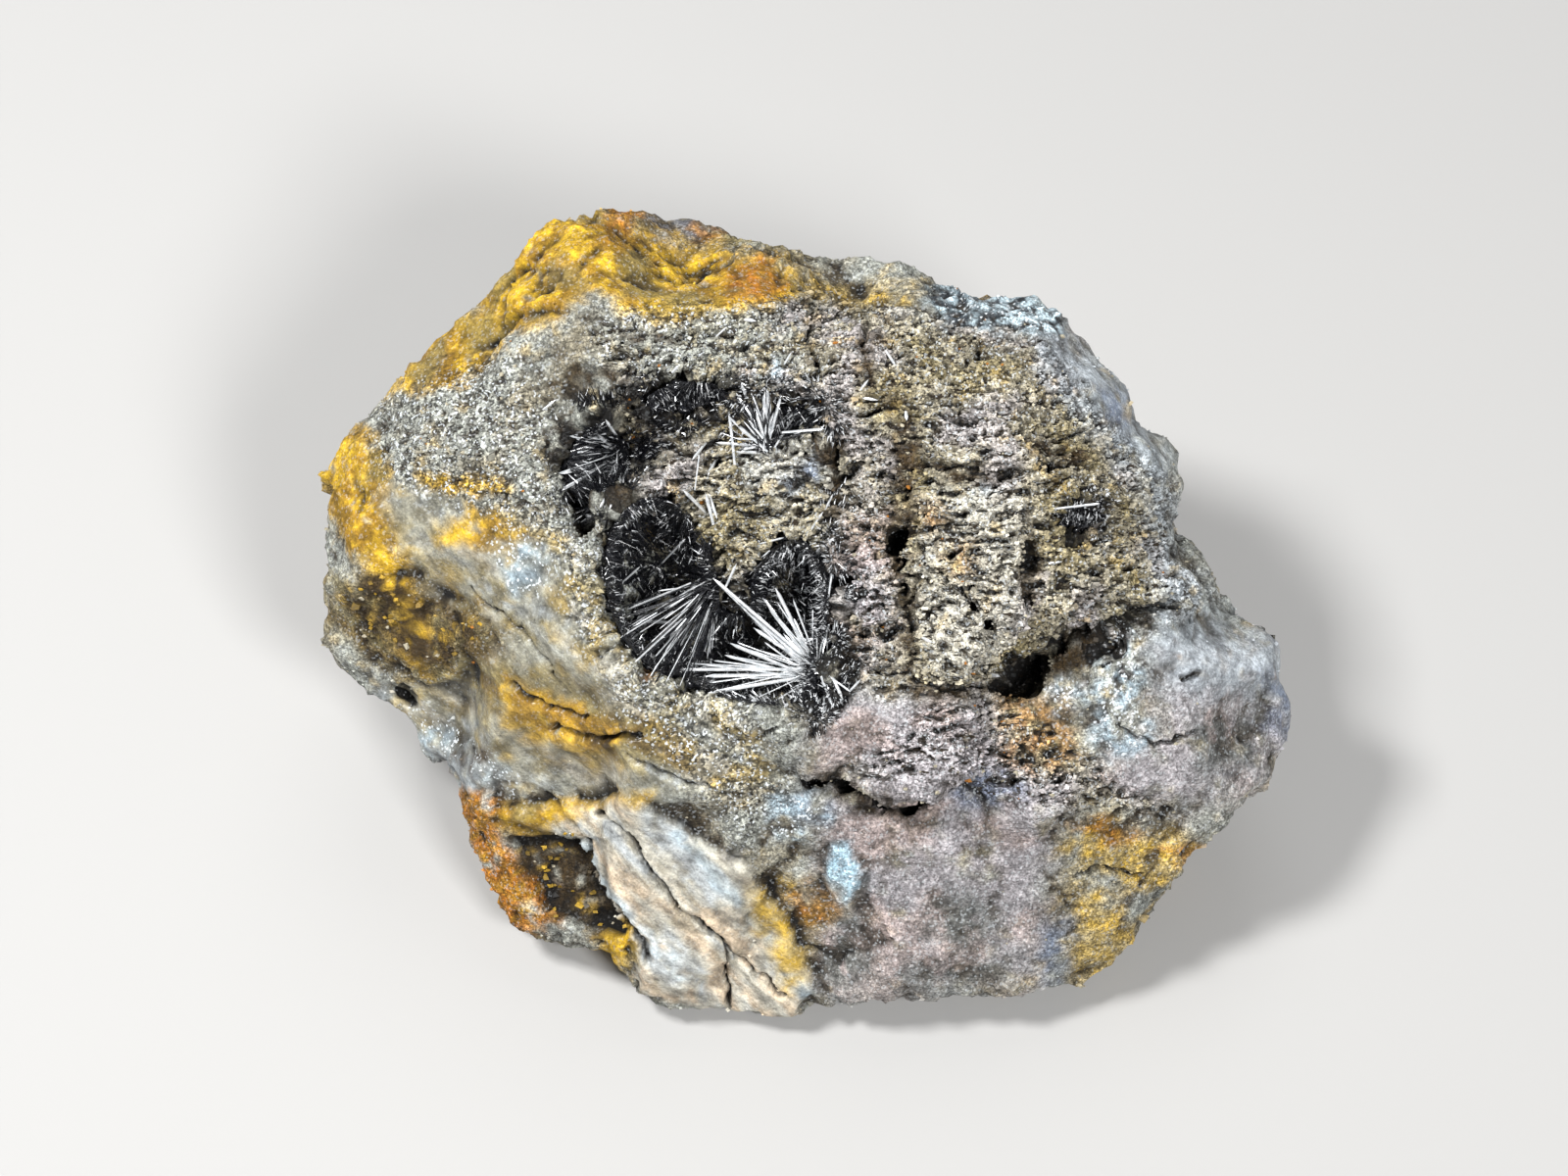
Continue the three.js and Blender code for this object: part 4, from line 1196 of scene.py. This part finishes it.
def fan_parts(fan, rises, crowding, gap, width, sides, rng):
    """A fan of bright needles, which start up to gap of their length from its root, over a denser black one;
    the bright needles stand partly for painted glints along the black ones. The rises are those of the bright
    and the black tips."""
    root, tips, number = fan
    starts, ends = photo_fan(root, tips, rises[0], number, rng, gap)
    bright = needle_part(starts, ends, width, sides, silver_needles, rng)
    starts, ends = photo_fan(root, tips, rises[1], crowding * number, rng)
    return [bright, needle_part(starts, ends, BLACK_FAN_WIDTH, 4, black_needles, rng)]


def spray_part(count, width, sides, rng):
    """The big spray's main needles and count more between them."""
    starts, ends = fan_of_needles(to_part([SPRAY_ROOT]), to_part(SPRAY_TIPS), count, rng)
    return needle_part(starts, ends, width, sides, silver_needles, rng)


def finish_crystals(name, parts):
    piece = joined(name.replace("crystals", "needles"), parts)
    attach(piece, "root")
    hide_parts(name)


def make_vug(stone):
    """The big hollow: its crust, its mats of fine needles, the spray of long bright ones and a fan."""
    rng = np.random.default_rng(VUG_SEED)
    name = "vug_crystals"
    parts = [new_piece("crust", crust_mesh(name), black_needles)]
    for mat in VUG_MATS:
        parts += mat_parts(name, rng, stone, *mat)
    parts.append(spray_part(*SPRAY_MAIN, rng))
    parts.append(spray_part(*SPRAY_FINE, rng))
    parts += fan_parts(SEPTUM_FAN, *VUG_FAN_GROWTH, rng)
    finish_crystals(name, parts)


def make_pocket(stone, name, count, length, tufts, seed, fan):
    """A small hollow: its crust, its mat of fine needles and, where it has one, a fan of longer ones."""
    rng = np.random.default_rng(seed)
    parts = [new_piece("crust", crust_mesh(name), black_needles)]
    parts += mat_parts(name, rng, stone, count, length, POCKET_WIDTH, tufts, 1)
    if fan is not None:
        parts += fan_parts(fan, *POCKET_FAN_GROWTH, rng)
    finish_crystals(name, parts)


def make_loose_needles():
    """Bright needles that lie here and there, each rooted on what the photograph shows under it."""
    rng = np.random.default_rng(LOOSE_SEED)
    roots = []
    tips = []
    for ax, ay, bx, by, rise in LOOSE_NEEDLES:
        start, end = seen_at(ax, ay), seen_at(bx, by)
        roots.append(start)
        tips.append(end + (max(0, np.dot(start - end, FACE_AXES[2])) + rise) * FACE_AXES[2])
    piece = needle_part(np.array(roots), np.array(tips), LOOSE_WIDTH, LOOSE_SIDES, silver_needles, rng)
    piece.name = "loose_needles"
    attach(piece, "root")


def fragments(name, places, ways, sizes, rng):
    """One mesh of angular stone crumbs, each a cube with its corners knocked about."""
    count = len(places)
    cube = np.array(list(product((-1, 1), repeat=3)), float)
    sides = [(0, 1, 3, 2), (4, 6, 7, 5), (0, 4, 5, 1), (2, 3, 7, 6), (0, 2, 6, 4), (1, 5, 7, 3)]
    corners = cube[None] * rng.uniform(0.25, 1, (count, 8, 3))
    spin = unit(rng.normal(size=(count, 3)))
    across = unit(np.cross(spin, rng.normal(size=(count, 3))))
    basis = np.stack([spin, across, np.cross(spin, across)], axis=1)
    spun = np.einsum("nij,njk->nik", corners, basis) * (sizes / 2)[:, None, None]
    points = (places + 0.1 * sizes[:, None] * ways)[:, None] + spun * (1.2, 0.9, 0.9)
    faces = [tuple(8 * i + corner for corner in side) for i in range(count) for side in sides]
    return mesh_from(name, kept_in_box(points.reshape(-1, 3)), faces)


def make_crumbs(stone):
    """Crumbs that cling to the ore's broken surface, nearly all of the colour of the stone under them."""
    rng = np.random.default_rng(CRUMB_SEED)
    points, normals = mesh_points(stone.data), mesh_normals(stone.data)
    marks = surface_marks(points, normals)
    weight = 0.25 + marks["salt"] + 0.8 * marks["porous"] + marks["black"]
    weight *= 1 - 0.85 * marks["yellow"]
    weight *= (1 - 0.85 * marks["smooth"]) * (1 - marks["hollow"]) * (points[:, 2] > 1.5)
    weight *= 0.08 + 0.92 * marks["facing"]
    chosen = rng.choice(len(points), CRUMB_COUNT, p=weight / weight.sum(), replace=False)
    sizes = rng.gamma(2, 0.065, CRUMB_COUNT) + 0.12
    mineral = stored(stone.data.attributes["mineral"].data, "color", 4)[chosen, :3]
    colours = mineral * rng.uniform(0.6, 1.5, (CRUMB_COUNT, 1)) + 0.02
    golden = marks["gold"][chosen] * rng.random(CRUMB_COUNT) > 0.72
    colours[golden] = np.array(GOLD_GRAIN) * rng.uniform(0.3, 1.3, (golden.sum(), 1))
    sizes[golden] += 0.2
    odd = rng.random(CRUMB_COUNT)
    colours[odd < 0.004] = ORANGE_OCHRE
    colours[odd > 0.95] = BUFF_STONE
    mesh = fragments("crumbs", points[chosen], normals[chosen], sizes, rng)
    add_attribute(mesh, "mineral", np.repeat(colours, 8, axis=0))
    piece = new_piece("crumbs", mesh, crumb_material())
    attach(piece, "root")


def feed(tree, node, values):
    """Sets each named input of a node to a plain value, or links another node's output to it."""
    for key, value in values.items():
        socket = node.inputs[key]
        if isinstance(value, bpy.types.NodeSocket):
            tree.links.new(value, socket)
        elif socket.type == "RGBA":
            socket.default_value = (*value, 1)
        else:
            socket.default_value = value


def new_node(tree, kind, inputs, **settings):
    node = tree.nodes.new("ShaderNode" + kind)
    for name, value in settings.items():
        setattr(node, name, value)
    feed(tree, node, inputs)
    return node


def coordinates_in_mm(tree):
    place = new_node(tree, "TexCoord", {}).outputs["Object"]
    return new_node(tree, "VectorMath", {0: place, "Scale": 1 / MM}, operation="SCALE").outputs[0]


def stretched_along_face(tree, place, stretch, slant=0):
    """Coordinates in the face frame, turned by the slant and divided along each axis by its stretch, for
    noise longer one way."""
    rotation = (-FACE_LEAN, 0, math.radians(slant))
    turn = new_node(tree, "Mapping", {"Rotation": rotation, "Vector": place})
    return new_node(tree, "VectorMath", {0: turn.outputs[0], 1: stretch}, operation="DIVIDE").outputs[0]


def new_material(name):
    material = bpy.data.materials.new(name)
    material.use_nodes = True
    tree = material.node_tree
    return material, tree, tree.nodes["Principled BSDF"]


def noise_node(tree, place, size, detail, roughness):
    """Noise from 0 to 1 with lumps of that size in mm."""
    inputs = {"Vector": place, "Scale": 1 / size, "Detail": detail, "Roughness": roughness}
    return new_node(tree, "TexNoise", inputs).outputs["Fac"]


def cell_node(tree, place, size):
    """Cells of that size in mm: the distance to each one's middle, and its own random colour."""
    node = new_node(tree, "TexVoronoi", {"Vector": place, "Scale": 1 / size})
    return node.outputs["Distance"], node.outputs["Color"]


def range_node(tree, value, from_low, from_high, to_low, to_high):
    limits = {"From Min": from_low, "From Max": from_high, "To Min": to_low, "To Max": to_high}
    return new_node(tree, "MapRange", {"Value": value, **limits}).outputs["Result"]


def math_node(tree, operation, first, second):
    return new_node(tree, "Math", {0: first, 1: second}, operation=operation).outputs[0]


def mix_node(tree, blend, factor, first, second):
    """Colours mixed by a factor."""
    inputs = {0: factor, 6: first, 7: second}
    return new_node(tree, "Mix", inputs, data_type="RGBA", blend_type=blend).outputs[2]


def attribute_node(tree, name):
    return new_node(tree, "Attribute", {}, attribute_name=name).outputs["Color"]


def bump_node(tree, height, distance, strength=1.0):
    inputs = {"Strength": strength, "Distance": distance * MM, "Height": height}
    return new_node(tree, "Bump", inputs).outputs[0]


def grain_node(tree, colour, place, pores, salt):
    """Mineral colours broken up by grain, salt and pepper and small openings darkened as painted shade, with
    the height of it all and each grain's random colour."""
    fine = noise_node(tree, place, 0.45, 6, 0.75)
    coarse = noise_node(tree, place, 2.2, 4, 0.6)
    distance, cells = cell_node(tree, place, 0.26)
    _, grains = cell_node(tree, place, 0.16)
    rough = range_node(tree, pores, 0.0, 0.3, 0.0, 1.0)
    marbling = noise_node(tree, stretched_along_face(tree, place, (1.9, 0.8, 1), SMOOTH_SLANT), 1.1, 8, 0.72)
    smooth_tone = range_node(tree, marbling, 0.36, 0.6, 0.4, 1.02)
    tone = mix_node(tree, "MIX", rough, smooth_tone, range_node(tree, fine, 0.34, 0.66, 0.3, 1.15))
    colour = mix_node(tree, "MULTIPLY", 1.0, colour, tone)
    colour = mix_node(tree, "MULTIPLY", 1.0, colour, range_node(tree, coarse, 0.35, 0.65, 0.62, 1.25))
    grain = math_node(tree, "MAXIMUM", rough, 0.25)
    colour = mix_node(tree, "MULTIPLY", grain, colour, range_node(tree, grains, 0.2, 0.8, 0.55, 1.45))
    colour = mix_node(tree, "MULTIPLY", salt, colour, range_node(tree, cells, 0.25, 0.8, 0.3, 1.7))
    wide = noise_node(tree, stretched_along_face(tree, place, (2.6, 0.8, 1)), 0.6, 3, 0.6)
    small = noise_node(tree, stretched_along_face(tree, place, (1.6, 0.8, 1)), 0.25, 2, 0.5)
    openings = math_node(tree, "MINIMUM", wide, math_node(tree, "ADD", small, 0.06))
    open_amount = math_node(tree, "MULTIPLY", range_node(tree, openings, 0.42, 0.38, 0.0, 1.0), pores)
    # painted shade: the small openings are darkened to near black
    colour = mix_node(tree, "MIX", open_amount, colour, PORE_SHADE)
    height = math_node(tree, "SUBTRACT", fine, math_node(tree, "MULTIPLY", open_amount, 1.2))
    height = math_node(tree, "SUBTRACT", height, math_node(tree, "MULTIPLY", distance, 0.3))
    return colour, height, cells


def stone_material():
    """Ore: grainy mineral colours with glinting crystal grains, partly painted as white specks, and a gloss
    where the sheens are.
    """
    material, tree, shader = new_material("ore")
    place = coordinates_in_mm(tree)
    split = new_node(tree, "SeparateColor", {0: attribute_node(tree, "texture")})
    pores, salt, shine = split.outputs[:3]
    colour, height, cells = grain_node(tree, attribute_node(tree, "mineral"), place, pores, salt)
    # painted glints: white specks mixed into the colour where the ground is salt and peppered or shiny
    _, sparks = cell_node(tree, place, 0.2)
    sparkling = math_node(tree, "MAXIMUM", salt, range_node(tree, shine, 0.7, 1.0, 0.0, 1.0))
    spark = math_node(tree, "MULTIPLY", range_node(tree, sparks, 0.76, 0.8, 0.0, 0.8), sparkling)
    glint = math_node(tree, "MULTIPLY", range_node(tree, cells, 0.7, 0.78, 0.0, 0.4), sparkling)
    dull = range_node(tree, shine, 0.0, 1.0, 0.9, 0.5)
    feed(tree, shader, {
        "Base Color": mix_node(tree, "MIX", spark, colour, PAINTED_GLINT),
        "Roughness": math_node(tree, "SUBTRACT", dull, glint),
        "Coat Weight": math_node(tree, "MULTIPLY", shine, 0.5),
        "Coat Roughness": 0.25,
        "Specular IOR Level": 0.3,
        "Normal": bump_node(tree, height, 0.22),
    })
    return material


def crumb_material():
    material, tree, shader = new_material("ore_crumbs")
    fine = noise_node(tree, coordinates_in_mm(tree), 0.3, 5, 0.7)
    tone = range_node(tree, fine, 0.3, 0.7, 0.37, 1.1)
    feed(tree, shader, {
        "Base Color": mix_node(tree, "MULTIPLY", 1.0, attribute_node(tree, "mineral"), tone),
        "Roughness": range_node(tree, fine, 0.3, 0.7, 0.55, 0.85),
        "Normal": bump_node(tree, fine, 0.08),
    })
    return material


def needle_material(name, dark, bright, metallic, roughness):
    """Metal-like crystal, darker and lighter along each needle."""
    material, tree, shader = new_material(name)
    place = coordinates_in_mm(tree)
    streak = noise_node(tree, place, 0.5, 4, 0.6)
    fine = noise_node(tree, place, 0.12, 2, 0.5)
    feed(tree, shader, {
        "Base Color": mix_node(tree, "MIX", range_node(tree, streak, 0.4, 0.62, 0.0, 1.0), dark, bright),
        "Roughness": range_node(tree, fine, 0.3, 0.7, roughness - 0.08, roughness + 0.12),
        "Metallic": metallic,
        "Specular IOR Level": 1.0,
        "Normal": bump_node(tree, fine, 0.02, 0.5),
    })
    return material


def make_floor():
    bpy.ops.mesh.primitive_plane_add(size=6, location=(0, 0, 0))
    floor = bpy.context.object
    floor.name = "floor"
    material, tree, shader = new_material("pale_floor")
    feed(tree, shader, {"Base Color": FLOOR_GREY, "Roughness": 0.7})
    floor.data.materials.append(material)


def make_light(name, azimuth, elevation, distance, size, power):
    """A soft square light aimed at the stone."""
    light = bpy.data.lights.new(name, "AREA")
    light.size = size
    light.energy = power
    lamp = bpy.data.objects.new(name, light)
    a, e = math.radians(azimuth), math.radians(elevation)
    way = Vector((math.sin(a) * math.cos(e), -math.cos(a) * math.cos(e), math.sin(e)))
    lamp.location = LIGHTS_AIM + way * distance
    lamp.rotation_euler = way.to_track_quat("Z", "Y").to_euler()
    bpy.context.scene.collection.objects.link(lamp)


def make_camera():
    camera = bpy.data.objects.new("camera", bpy.data.cameras.new("camera"))
    bpy.context.scene.collection.objects.link(camera)
    camera.data.sensor_width = SENSOR_WIDTH
    camera.data.lens = SENSOR_WIDTH * CAMERA_DISTANCE * PIXELS_PER_MM / PHOTO_SIZE[0]
    camera.data.clip_start = 0.01
    camera.location = to_part([(*CAMERA_AIM, CAMERA_DISTANCE)])[0] * MM
    camera.rotation_euler = Vector(FACE_AXES[2]).to_track_quat("Z", "Y").to_euler()
    bpy.context.scene.camera = camera


def make_world():
    world = bpy.data.worlds.new("studio")
    world.use_nodes = True
    feed(world.node_tree, world.node_tree.nodes["Background"], SKY)
    bpy.context.scene.world = world
    bpy.context.scene.view_settings.view_transform = "Standard"


make_camera()
make_world()
make_floor()
for light_name, settings in LIGHTS.items():
    make_light(light_name, *settings)

black_needles = needle_material("black_needles", *BLACK_CRYSTAL)
silver_needles = needle_material("silver_needles", *SILVER_CRYSTAL)

stone = make_stone()
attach(stone, "root")
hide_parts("stone")
stone_tree = BVHTree.FromPolygons(
    [v.co for v in stone.data.vertices], [p.vertices for p in stone.data.polygons])

make_vug(stone)
for pocket in POCKETS:
    make_pocket(stone, *pocket)
make_loose_needles()
make_crumbs(stone)
